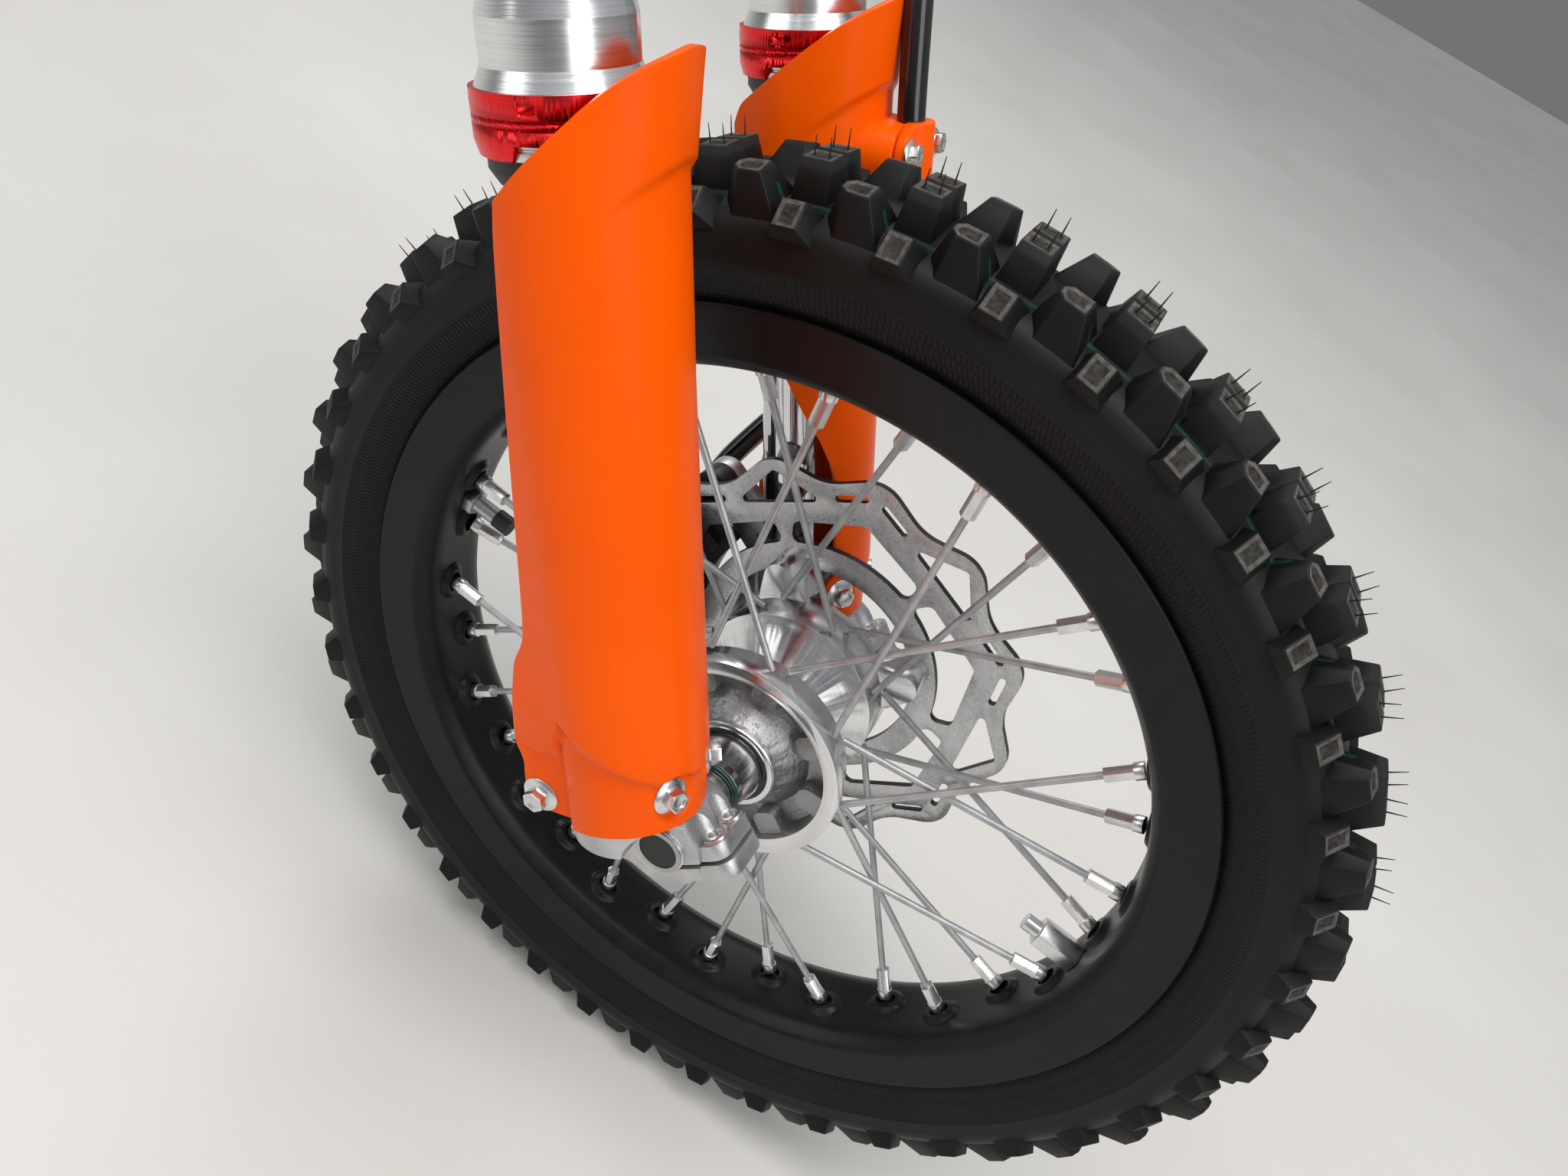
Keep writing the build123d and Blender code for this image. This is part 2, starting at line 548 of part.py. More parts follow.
def make_lug(side):
    """A fork end: tube socket, axle eye and split clamp; the left one also carries the caliper's arms."""
    inner = LUG_INNER - LEG_SPREAD
    outer = LUG_OUTER - LEG_SPREAD
    middle = (inner + outer) / 2
    width = outer - inner
    eye = Pos(AXLE_LEAD, middle, 0) * Rot(90, 0, 0) * Cylinder(LUG_EYE_R, width)
    heel = make_face(Polyline(
        (-14, -8), (-9, -12.5), (9, -14.5), (19, -16), (34, -10), (37, 2), (23, 11), (20, 36), (-18, 36), (-18, 2), close=True,
    ))
    web = plate(heel, inner + 6, outer - 1.5)
    socket = Pos(0, 0, SOCKET_TOP / 2) * Cylinder(SOCKET_R, SOCKET_TOP)
    height = CLAMP_EAR_TOP + CLAMP_EAR_FOOT
    ear = Pos(CLAMP_EAR / 2, middle, 0) * Box(CLAMP_EAR, width - 3, height)
    ear = fillet(ear.edges().filter_by(Axis.Z).group_by(Axis.X)[-1], 6)
    body = eye + web + socket + lug_clamp(Pos(0, 0, (CLAMP_EAR_TOP - CLAMP_EAR_FOOT) / 2) * ear)
    for turned_by, reach in GUARD_BOLTS:
        # bosses under the guard's front bolts
        body = body + Rot(0, 0, turned_by) * Pos(reach / 2, 0, BOLT_STATION) * Rot(0, 90, 0) * Cylinder(BOLT_BOSS_R, reach - 2 * GUARD_WALL)
    body = body + Pos(REAR_BOLT_X / 2, REAR_SEAT / 2 - GUARD_WALL, REAR_BOLT_STATION) * Box(-REAR_BOLT_X + 8, REAR_SEAT, REAR_BLOCK_H)
    if side > 0:
        for x, z in CALIPER_BOLTS:
            end = Pos(x + AXLE_LEAD, z) * Circle(CALIPER_EAR_R)
            root = Pos(0, 24) * Circle(12)
            arm = make_hull(end.edges() + root.edges())
            body = body + plate(arm, -CALIPER_ARM_T, 0)
    body = body - Pos(AXLE_LEAD, 0, 0) * Rot(90, 0, 0) * Cylinder(AXLE_R + FIT, 4 * width)
    body = body - Pos(0, 0, SOCKET_FLOOR + SOCKET_TOP) * Cylinder(TUBE_R + FIT, 2 * SOCKET_TOP)
    body = body - lug_clamp(Pos(CLAMP_EAR / 2 + 5, middle, 0) * Box(CLAMP_EAR + 10, width + 10, SLIT_W))
    for y in PINCH_PLACES:
        body = body - lug_clamp(Pos(PINCH_REACH, y, CLAMP_EAR_TOP + 8) * Cylinder(PINCH_SEAT_R, 20))
    return on_leg(body, side)


def make_axle():
    return at_axle(ring(AXLE_R, AXLE_BORE_R, -LUG_OUTER - 1.5, LUG_OUTER + 1.5, Axis.Y))


def make_axle_plugs():
    plugs = [Pos(0, side * (LUG_OUTER + 1.2 - PLUG_DEPTH / 2), 0) * Rot(90, 0, 0) * Cylinder(AXLE_BORE_R - FIT, PLUG_DEPTH)
             for side in SIDES.values()]
    return at_axle(Compound(children=plugs))


def make_spacer(side):
    points = [
        (SPACER_R, HUB_HALF + 0.6), (SPACER_R, HUB_HALF + 3), (SPACER_R - 2.6, LUG_INNER - 15.5),
        (SPACER_R - 2.6, LUG_INNER - 12), (SPACER_NECK_R, LUG_INNER - 10), (SPACER_NECK_R, LUG_INNER),
        (AXLE_R + FIT, LUG_INNER), (AXLE_R + FIT, HUB_HALF + 0.6),
    ]
    return at_axle(turned([(r, side * y) for r, y in points], Axis.Y))


# Guards

def guard_solid(offset):
    """The guard's round front and the smaller skirt under its shoulder, the skin moved outwards by an offset."""
    reach = 2 * GUARD_TIP
    front = Pos(*GUARD_CENTRE) * Cylinder(GUARD_R + offset, reach)
    below = Pos(0, 0, GUARD_SHOULDER - offset) * Rot(0, SHOULDER_SLOPE, 0) * Pos(0, 0, -reach / 2) * Box(reach, reach, reach)
    front = front - below
    if not offset:
        front = chamfer(front.edges().group_by(Axis.Z)[0], 2.6)
    return front + Pos(*GUARD_SKIRT_CENTRE) * Cylinder(GUARD_SKIRT_R + offset, reach)


def guard_flat(outline, side):
    """A flat of the guard behind a ridge, outer (1) or on the wheel side (-1); its outline runs back from the ridge and up."""
    flat = plate(make_face(Polyline(*[(-back, up) for back, up in outline], close=True)), GUARD_R - GUARD_FLAT_WALL, GUARD_R)
    if side < 0:
        flat = mirror(flat, Plane.XZ)
    return Pos(*GUARD_CENTRE) * Rot(0, 0, side * (GUARD_RIDGE - 90)) * flat


def make_guard(side):
    body = guard_solid(0) - guard_solid(-GUARD_WALL)
    # open behind the ridges, and on the wheel side under a slanted edge
    x, y = GUARD_CENTRE
    ray = 4 * GUARD_R
    ridges = [(x + ray * cos(radians(a)), y + ray * sin(radians(a))) for a in (GUARD_RIDGE, -GUARD_RIDGE)]
    behind = make_face(Polyline((x, y), ridges[0], (-2 * ray, ridges[0][1]), (-2 * ray, ridges[1][1]), ridges[1], close=True))
    body = body - Pos(0, 0, SKIRT_TOP) * extrude(behind, GUARD_TIP)
    body = body - Pos(SKIRT_BACK - ray, 0, SKIRT_TOP - ray) * Box(2 * ray, 2 * ray, 2 * ray)
    mouth = make_face(Polyline(
        (GUARD_EDGE, -60), (GUARD_EDGE, 84), (GUARD_EDGE - 1.5, 96), (GUARD_EDGE - 6, 109), (-30, 207), (-60, 207), (-60, -60),
        close=True,
    ))
    body = body - plate(mouth, -60, -5)
    outer = ((-1, 34), (-1, 240), (2.4, 236), (16.1, 90), (27, 79), (32, 66), (35, 44), (34, 36), (29, 32), (2, 30))
    inner = ((-1, 158), (-1, 244), (14, 244), (14, 190))
    body = body + guard_flat(outer, 1) + guard_flat(inner, -1)
    # the pad under the rear bolt
    pad = ((SKIRT_BACK, 14.4), (-21, 14.4), (-28, 16.5), (-31, 21), (-31, 30), (-29, 36), (-20, 41), (SKIRT_BACK, 41))
    body = body + plate(make_face(Polyline(*pad, close=True)), REAR_SEAT - GUARD_WALL, REAR_SEAT)
    # bottom edge rising to the front
    low = -2 * GUARD_TIP
    edge = make_face(Polyline((-60, low), (-60, 11.5), (-9, 11.5), (10, 15), (60, 20), (60, low), close=True))
    body = body - plate(edge, -60, 60)
    eye = Pos(AXLE_LEAD, 0) * Circle(LUG_EYE_R + 1)
    body = body - plate(eye, -60, LUG_OUTER - LEG_SPREAD + 1)
    # slanted top
    tip = Pos(x + GUARD_R + 2.7, 0, GUARD_TIP) * Rot(0, -GUARD_SLOPE, 0) * Pos(-60, 0, 40) * Box(180, 120, 80)
    body = body - tip
    for turned_by, reach in GUARD_BOLTS:
        # flat floors of the front bolts' recesses
        place = Rot(0, 0, turned_by) * Pos(reach, 0, BOLT_STATION) * Rot(0, 90, 0)
        floor = place * Pos(0, 0, -GUARD_WALL / 2) * Cylinder(BOLT_RECESS_R, GUARD_WALL)
        body = body - place * Pos(0, 0, 10) * Cylinder(BOLT_RECESS_R, 20) + floor
    if side > 0:
        arm = clamp_block(0, HOSE_X) - guard_solid(-GUARD_WALL)
        body = body + arm - Pos(HOSE_X, 0, HOSE_CLAMP_STATION) * Cylinder(HOSE_R + 2 * SEAT_GAP, 2 * HOSE_CLAMP_H)
    return on_leg(body, side)


# Front brake

def sector(inner, outer, start, span):
    """A flat ring sector about the axle, X forward and Y up, angles in degrees."""
    points = [(0, 0)]
    steps = 6
    for i in range(steps + 1):
        a = radians(start + span * i / steps)
        reach = 2 * outer
        points.append((reach * cos(a), reach * sin(a)))
    wedge = make_face(Polyline(*points, close=True))
    return (Circle(outer) - Circle(inner)) & wedge


def make_caliper():
    slot_half = DISC_T / 2 + MOVING_GAP
    body_face = sector(CALIPER_IN_R, CALIPER_OUT_R, CALIPER_START, CALIPER_SPAN)
    outboard = DISC_Y + slot_half + CALIPER_OUTBOARD
    body = plate(body_face, DISC_Y - slot_half - CALIPER_INBOARD, outboard)
    for x, z in CALIPER_BOLTS:
        end = Pos(x, z) * Circle(CALIPER_EAR_R)
        angle = radians(CALIPER_START + CALIPER_SPAN / 2)
        root = Pos(CALIPER_PISTON_PLACE * cos(angle), CALIPER_PISTON_PLACE * sin(angle)) * Circle(PISTON_R)
        ear = make_hull(end.edges() + root.edges())
        body = body + plate(ear, DISC_Y + slot_half, outboard)
    middle = CALIPER_START + CALIPER_SPAN / 2
    for step in (-1, 1):
        piston = Pos(CALIPER_PISTON_PLACE, 0) * Circle(PISTON_R)
        body = body + turn(middle + step * PISTON_PITCH / 2) * plate(piston, outboard - 1, outboard + CALIPER_PISTON_H)
    body = body - ring(DISC_R + MOVING_GAP, 20, DISC_Y - slot_half, DISC_Y + slot_half, Axis.Y)
    start = Vector(*HOSE_POINTS[0]) + Vector(-AXLE_LEAD, LEG_SPREAD, 0)
    along = (Vector(*HOSE_POINTS[1]) - Vector(*HOSE_POINTS[0])).normalized()
    foot = start - along * FERRULE_LENGTH
    body = body - rod(foot, foot + along * FERRULE_LENGTH, FERRULE_R + SEAT_GAP)
    body = body + rod(foot - along * FERRULE_LENGTH, foot, BANJO_R)
    return at_axle(body)


def make_pads():
    pad = sector(CALIPER_IN_R + 4, DISC_R - 3, CALIPER_START + 4, CALIPER_SPAN - 8)
    outer = plate(pad, DISC_BACK + PAD_GAP, DISC_BACK + PAD_GAP + PAD_T)
    inner = plate(pad, DISC_FACE - PAD_GAP - PAD_T, DISC_FACE - PAD_GAP)
    return at_axle(Compound(children=[outer, inner]))


def hose_points():
    return [Vector(*p) for p in HOSE_POINTS]


def make_hose():
    """The brake hose from its fitting on the caliper up the leg to the fitting over the upper clamp."""
    points = hose_points()
    radii = []
    for before, corner, after in zip(points, points[1:], points[2:]):
        first = corner - before
        second = after - corner
        half_turn = radians(first.get_angle(second)) / 2
        radii.append(0.45 * min(first.length, second.length) * cos(half_turn) / sin(half_turn))
    print("hose radii", [round(r) for r in radii])
    path = FilletPolyline(*points, radius=radii)
    section = Plane(origin=points[0], z_dir=points[1] - points[0]) * Circle(HOSE_R)
    hose = sweep(section, path)
    print("hose length %.0f, volume %.0f of %.0f" % (path.length, hose.volume, path.length * section.area))
    return on_leg(hose, SIDES["left"])


def make_hose_ends():
    """The ferrules at the two ends of the hose, each with its banjo at the top end."""
    points = hose_points()
    low = (points[1] - points[0]).normalized()
    high = (points[-1] - points[-2]).normalized()
    foot = rod(points[0] - low * FERRULE_LENGTH, points[0], FERRULE_R)
    head = rod(points[-1], points[-1] + high * FERRULE_LENGTH, FERRULE_R)
    eye = Pos(*(points[-1] + high * (FERRULE_LENGTH + BANJO_R - 1))) * Rot(90, 0, 0) * Cylinder(BANJO_R, BANJO_T)
    return on_leg(Compound(children=[foot, head + eye]), SIDES["left"])


def clamp_block(start, end):
    """A block with round ends across the hose, between two reaches forward of the tube."""
    outline = SlotOverall(HOSE_CLAMP_W, HOSE_CLAMP_H)
    return Pos(start, 0, HOSE_CLAMP_STATION) * Rot(0, 90, 0) * Rot(0, 0, 90) * extrude(outline, end - start)


def make_hose_clamp():
    """The front half of the clamp on the left guard."""
    start = HOSE_X + HOSE_CLAMP_SPLIT
    body = chamfer(clamp_block(start, start + HOSE_CLAMP_DEPTH).edges().group_by(Axis.X)[-1], 1.5)
    body = body - Pos(HOSE_X, 0, HOSE_CLAMP_STATION) * Cylinder(HOSE_R + 2 * SEAT_GAP, 2 * HOSE_CLAMP_H)
    return on_leg(body, SIDES["left"])


def make_hose_guides():
    """Two rings that hold the hose to the triple clamps."""
    guides = []
    for middle in (LOWER_CLAMP_Z, UPPER_CLAMP_Z):
        station = middle + AXLE_DROP
        start = OUTER_R + CLAMP_WALL + SEAT_GAP
        loop = Pos(HOSE_X, -0.8, station) * Cylinder(HOSE_R + 2 + GUIDE_WALL, GUIDE_H)
        tab = Pos((start + HOSE_X) / 2, 0, station) * Box(HOSE_X - start, 8, GUIDE_H)
        bore = Pos(HOSE_X, -0.8, station) * Cylinder(HOSE_R + 1.8, 4 * GUIDE_H)
        guides.append(loop + tab - bore)
    return on_leg(Compound(children=guides), SIDES["left"])


# Steering

def make_clamp(middle, thickness, holes):
    """A triple clamp: a plate between the steering stem and the two fork legs, split behind each leg."""
    outline = Circle(STEM_HUB_R).edges()
    for side in SIDES.values():
        outline += (Pos(CLAMP_OFFSET, side * LEG_SPREAD) * Circle(OUTER_R + CLAMP_WALL)).edges()
    low = middle - thickness / 2
    body = Pos(0, 0, low) * extrude(make_hull(outline), thickness)
    for side in SIDES.values():
        ear_x = CLAMP_OFFSET - OUTER_R - CLAMP_WALL - CLAMP_EAR_L / 2 + 3
        body = body + Pos(ear_x, side * LEG_SPREAD, middle) * Box(CLAMP_EAR_L, CLAMP_EAR_W, thickness)
    body = chamfer(body.edges().group_by(Axis.Z)[-1], 1.5)
    for side in SIDES.values():
        body = body - Pos(CLAMP_OFFSET, side * LEG_SPREAD, middle) * Cylinder(OUTER_R + FIT, 2 * thickness)
        body = body - Pos(CLAMP_OFFSET - OUTER_R - CLAMP_EAR_L, side * LEG_SPREAD, middle) * Box(2 * CLAMP_EAR_L + 4, SLIT_W, 2 * thickness)
    return body - Pos(0, 0, middle) * Cylinder(STEM_R + FIT, 2 * thickness) - holes


def race(middle):
    """The outer race of a steering bearing, pressed into the frame's steering head."""
    return ring(BEARING_R, BEARING_R - RACE_WALL, middle - BEARING_T / 2, middle + BEARING_T / 2)


def cone(middle, collar=0):
    """The inner race of a steering bearing on the stem, with a dust collar above it."""
    return ring(BEARING_R - RACE_WALL - SEAT_GAP, STEM_R + FIT, middle - BEARING_T / 2, middle + BEARING_T / 2 + collar)


def bar_holes():
    """Two holes through the upper clamp that take the handlebar mounts."""
    return [Pos(BAR_HOLE_X, BAR_HOLE_Y * side, UPPER_CLAMP_Z) * Cylinder(BAR_HOLE_R, 2 * UPPER_CLAMP_T)
            for side in SIDES.values()]


def fender_holes():
    """Two holes up into the lower clamp that take the fender's screws."""
    return [Pos(FENDER_HOLE_X, FENDER_HOLE_Y * side, STEM_BOTTOM) * Cylinder(FENDER_HOLE_R, 2 * FENDER_HOLE_DEPTH)
            for side in SIDES.values()]


def make_stem():
    top = STEM_TOP + STEM_THREAD
    return turned([(0, STEM_BOTTOM), (STEM_R, STEM_BOTTOM), (STEM_R, top), (0, top)])


def make_stem_nut():
    top = STEM_TOP + STEM_NUT_H
    body = Pos(0, 0, STEM_TOP) * extrude(RegularPolygon(STEM_NUT_R, 6), STEM_NUT_H)
    body = body & turned([(0, STEM_TOP), (STEM_NUT_R, STEM_TOP), (STEM_NUT_R, top - 1.5), (STEM_NUT_R - 2, top), (0, top)])
    return body - Pos(0, 0, STEM_TOP) * Cylinder(STEM_R + FIT, 2 * STEM_THREAD)


def nodes():
    parts = {
        "tyre": at_axle(make_tyre()),
        "rim": at_axle(make_rim()),
        "hub": at_axle(make_hub()),
        "hub_seals": at_axle(make_hub_seals()),
        "spokes_right": at_axle(make_spokes(SIDES["right"])),
        "spokes_left": at_axle(make_spokes(SIDES["left"])),
        "nipples": at_axle(make_nipples()),
        "brake_disc": at_axle(make_disc()),
        "valve": at_axle(make_valve()),
        "valve_cap": at_axle(make_valve_cap()),
        "rim_lock": at_axle(make_rim_lock()),
        "axle": make_axle(),
        "axle_plugs": make_axle_plugs(),
        "lower_clamp": make_clamp(LOWER_CLAMP_Z, LOWER_CLAMP_T, fender_holes()),
        "upper_clamp": make_clamp(UPPER_CLAMP_Z, UPPER_CLAMP_T, bar_holes()),
        "stem": make_stem(),
        "stem_nut": make_stem_nut(),
        "lower_bearing_race": race(0),
        "lower_bearing_cone": cone(0),
        "upper_bearing_race": race(HEAD_LENGTH),
        "upper_bearing_cone": cone(HEAD_LENGTH, UPPER_COLLAR),
        "caliper": make_caliper(),
        "brake_pads": make_pads(),
        "brake_hose": make_hose(),
        "hose_ends": make_hose_ends(),
        "hose_clamp": make_hose_clamp(),
        "hose_guides": make_hose_guides(),
    }
    for name, side in SIDES.items():
        parts["outer_tube_" + name] = on_leg(make_outer_tube(), side)
        parts["collar_" + name] = on_leg(make_collar(), side)
        parts["wiper_" + name] = on_leg(make_wiper(), side)
        parts["inner_tube_" + name] = on_leg(make_inner_tube(), side)
        parts["fork_cap_" + name] = on_leg(make_cap(), side)
        parts["axle_lug_" + name] = make_lug(side)
        parts["spacer_" + name] = make_spacer(side)
        parts["guard_" + name] = make_guard(side)
    return parts


def main():
    os.makedirs("parts", exist_ok=True)
    for name, shape in nodes().items():
        export_step(Rot(0, -RAKE, 0) * shape, "parts/" + name + ".step")


main()
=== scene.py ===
"""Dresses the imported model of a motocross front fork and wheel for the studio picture."""

import json
import logging
import math
from dataclasses import dataclass
from enum import Enum
from typing import Callable, Iterable, Sequence

import bmesh
import bpy
from mathutils import Matrix, Vector

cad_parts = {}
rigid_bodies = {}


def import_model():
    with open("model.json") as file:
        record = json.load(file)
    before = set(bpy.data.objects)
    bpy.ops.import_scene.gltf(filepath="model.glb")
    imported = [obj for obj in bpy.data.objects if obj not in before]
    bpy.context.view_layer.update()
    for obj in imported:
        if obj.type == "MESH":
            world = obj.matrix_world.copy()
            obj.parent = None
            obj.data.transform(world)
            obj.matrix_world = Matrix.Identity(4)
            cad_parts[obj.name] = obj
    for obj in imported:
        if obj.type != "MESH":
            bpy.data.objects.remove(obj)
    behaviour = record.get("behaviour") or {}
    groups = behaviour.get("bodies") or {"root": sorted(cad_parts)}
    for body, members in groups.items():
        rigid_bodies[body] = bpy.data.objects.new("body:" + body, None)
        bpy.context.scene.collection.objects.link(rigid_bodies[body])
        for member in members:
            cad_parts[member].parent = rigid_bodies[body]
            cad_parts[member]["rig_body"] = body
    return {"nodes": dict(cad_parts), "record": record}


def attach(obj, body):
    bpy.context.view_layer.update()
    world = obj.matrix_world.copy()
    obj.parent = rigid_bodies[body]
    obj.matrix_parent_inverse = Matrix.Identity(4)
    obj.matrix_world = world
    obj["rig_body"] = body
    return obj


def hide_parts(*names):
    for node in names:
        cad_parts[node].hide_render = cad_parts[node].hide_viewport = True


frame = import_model()

Piece = bpy.types.Object
Material = bpy.types.Material

LOG = logging.getLogger("fork")
RAKE = 26.0
AXLE_FORWARD, AXLE_DROP = 41.0, 508.0
CLAMP_OFFSET, LEG_SPREAD = 22.0, 80.0
TO_METRES = Matrix.Scale(0.001, 4)
LEAN = Matrix.Rotation(math.radians(-RAKE), 4, "Y")
WHEEL_PLACE = LEAN @ TO_METRES @ Matrix.Translation((AXLE_FORWARD, 0, -AXLE_DROP))
AXLE_CENTRE = WHEEL_PLACE @ Vector((0, 0, 0))
ALONG_Y = (0, 1, 0)
ALONG_Z = (0, 0, 1)
# the guard's two front bolts: degrees from forward towards the outside, and their seat from the tube's axis
GUARD_BOLTS = ((21.0, 28.0), (-31.0, 31.2))
BOLT_STATION = 31.0


class Side(Enum):
    """Which fork leg a piece is on, with its direction along Y."""

    RIGHT = -1
    LEFT = 1

    @property
    def word(self) -> str:
        """The side's name as it stands in the names of nodes."""
        return self.name.lower()


class Body(Enum):
    """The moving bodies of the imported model."""

    WHEEL = "wheel"
    FORK = "fork"


def turn(degrees: float, axis: str) -> Matrix:
    """A rotation about an axis through the origin."""
    return Matrix.Rotation(math.radians(degrees), 4, axis)


def shift(x: float, y: float, z: float) -> Matrix:
    """A move by three lengths."""
    return Matrix.Translation((x, y, z))


def leg_place(side: Side) -> Matrix:
    """Matrix from a leg's own millimetres (X forward, Y away from the wheel, Z up the leg) to the scene."""
    place = shift(CLAMP_OFFSET, side.value * LEG_SPREAD, -AXLE_DROP)
    if side is Side.RIGHT:
        place = place @ Matrix.Scale(-1, 4, (0, 1, 0))
    return LEAN @ TO_METRES @ place


# Modelling helpers


def linked(name: str, data: bpy.types.ID) -> Piece:
    """A new object for some data, linked to the scene."""
    thing = bpy.data.objects.new(name, data)
    bpy.context.scene.collection.objects.link(thing)
    return thing


def activate(piece: Piece) -> None:
    """Selects one object alone and makes it the active one."""
    bpy.ops.object.select_all(action="DESELECT")
    piece.select_set(True)
    bpy.context.view_layer.objects.active = piece


def primitive(add: Callable, name: str, **settings) -> Piece:
    """Adds a primitive with an operator.

    Args:
        add: The operator that adds it.
        name: Name of the new object.
        settings: Settings of the operator.

    Returns:
        The new object.
    """
    bpy.ops.object.select_all(action="DESELECT")
    add(**settings)
    bpy.ops.object.transform_apply(location=True, rotation=True, scale=True)
    piece = bpy.context.object
    piece.name = name
    return piece


class Editing:
    """Opens an object in edit mode with nothing selected, and closes it again."""

    def __init__(self, piece: Piece) -> None:
        """Keeps the object that is edited."""
        self.piece = piece

    def __enter__(self) -> "Editing":
        """Enters edit mode."""
        activate(self.piece)
        bpy.ops.object.mode_set(mode="EDIT")
        bpy.ops.mesh.select_all(action="DESELECT")
        return self

    def __exit__(self, *_) -> None:
        """Leaves edit mode."""
        bpy.ops.object.mode_set(mode="OBJECT")

    def select_all(self) -> None:
        """Selects the whole mesh."""
        bpy.ops.mesh.select_all(action="SELECT")

    def only(self, kind: str, test: Callable) -> None:
        """Selects only the faces or edges that pass a test on the element."""
        bpy.ops.mesh.select_mode(type=kind)
        bpy.ops.mesh.select_all(action="DESELECT")
        mesh = bmesh.from_edit_mesh(self.piece.data)
        for element in mesh.faces if kind == "FACE" else mesh.edges:
            if test(element):
                element.select_set(True)
        bmesh.update_edit_mesh(self.piece.data)

    def faces(self, test: Callable) -> None:
        """Selects only the faces whose centre and normal pass a test."""
        self.only("FACE", lambda face: test(face.calc_center_median(), face.normal))

    def edges(self, test: Callable) -> None:
        """Selects only the edges whose two ends pass a test."""
        self.only("EDGE", lambda edge: test(edge.verts[0].co, edge.verts[1].co))


def apply_modifiers(piece: Piece) -> None:
    """Applies all modifiers of an object in their order."""
    activate(piece)
    for modifier in list(piece.modifiers):
        bpy.ops.object.modifier_apply(modifier=modifier.name)


def soften(piece: Piece, width: float, segments: int = 2, angle: float = 32.0) -> None:
    """Bevels the sharp edges of an object and shades it smooth.

    Args:
        piece: The object.
        width: Width of the bevel, in the object's own unit.
        segments: Faces across the bevel.
        angle: Edges sharper than this many degrees are bevelled.
    """
    bevel = piece.modifiers.new("Bevel", "BEVEL")
    bevel.width = width
    bevel.segments = segments
    bevel.limit_method = "ANGLE"
    bevel.angle_limit = math.radians(angle)
    bevel.harden_normals = False
    apply_modifiers(piece)
    smooth(piece)


def smooth(piece: Piece, angle: float = 38.0) -> None:
    """Shades an object smooth except across edges sharper than an angle in degrees."""
    activate(piece)
    bpy.ops.object.shade_smooth_by_angle(angle=math.radians(angle))


def outward(piece: Piece) -> None:
    """Merges doubles and turns all faces outwards."""
    with Editing(piece) as edit:
        edit.select_all()
        bpy.ops.mesh.remove_doubles(threshold=0.001)
        bpy.ops.mesh.normals_make_consistent(inside=False)


def put(piece: Piece, place: Matrix) -> Piece:
    """Moves an object's mesh to its place, with the object itself left at the origin."""
    piece.data.transform(place)
    if place.determinant() < 0:
        piece.data.flip_normals()
    return piece


def copy_to(piece: Piece, place: Matrix) -> Piece:
    """A copy of an object with a mesh of its own, moved by a matrix."""
    return put(linked(piece.name, piece.data.copy()), place)


def join(pieces: Sequence[Piece], name: str) -> Piece:
    """Joins objects into one mesh and names it."""
    activate(pieces[0])
    for piece in pieces:
        piece.select_set(True)
    bpy.ops.object.join()
    pieces[0].name = name
    return pieces[0]


def discard(*pieces: Piece) -> None:
    """Removes objects that only served as patterns for copies."""
    for piece in pieces:
        bpy.data.objects.remove(piece)


def dress(piece: Piece, *materials: Material) -> None:
    """Gives an object its materials in their order, in place of those it has."""
    piece.data.materials.clear()
    for material in materials:
        piece.data.materials.append(material)


def lathe_section(outer: Sequence, inner: Sequence) -> list:
    """The closed outline of a hollow ring, mirrored across the middle of the wheel.

    Args:
        outer: (radius, station) points of the left half's outside, down to the middle.
        inner: Those of its inside, from the middle outwards.

    Returns:
        The whole outline.
    """
    right = [(r, -y) for r, y in reversed(outer[:-1])]
    inner_right = [(r, -y) for r, y in reversed(inner)]
    return [*outer, *right, *inner_right, *inner[1:]]


def spun(name: str, profile: Sequence, steps: int, closed: bool = True, axis: Sequence = ALONG_Y) -> Piece:
    """Spins a profile once round an axis through the origin.

    Args:
        name: Name of the new object.
        profile: (radius, station along the axis) points.
        steps: Number of steps round.
        closed: Whether the last point joins the first.
        axis: The axis, Y or Z.

    Returns:
        The new object, in millimetres.
    """
    if axis[1]:
        points = [(r, s, 0) for r, s in profile]
    else:
        points = [(r, 0, s) for r, s in profile]
    count = len(points)
    edges = [(i, (i + 1) % count) for i in range(count if closed else count - 1)]
    mesh = bpy.data.meshes.new(name)
    mesh.from_pydata(points, edges, [])
    piece = linked(name, mesh)
    with Editing(piece) as edit:
        edit.select_all()
        bpy.ops.mesh.spin(steps=steps, angle=2 * math.pi, center=(0, 0, 0), axis=axis)
    outward(piece)
    return piece


def finish_piece(piece: Piece, material: Material | None, body: Body, slot: str,
                 *nodes: str) -> None:
    """Gives a finished piece its material and body.

    Args:
        piece: The object, in place.
        material: Its material, or None to keep those it has.
        body: The body that it moves with.
        slot: The record's material slot of the piece; not used.
        nodes: CAD nodes that it stands for.
    """
    if material:
        dress(piece, material)
    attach(piece, body.value)
    if nodes:
        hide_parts(*nodes)
    faces = len(piece.data.polygons) if piece.type == "MESH" else 0
    LOG.info("%s: %d faces", piece.name, faces)


# Finishes


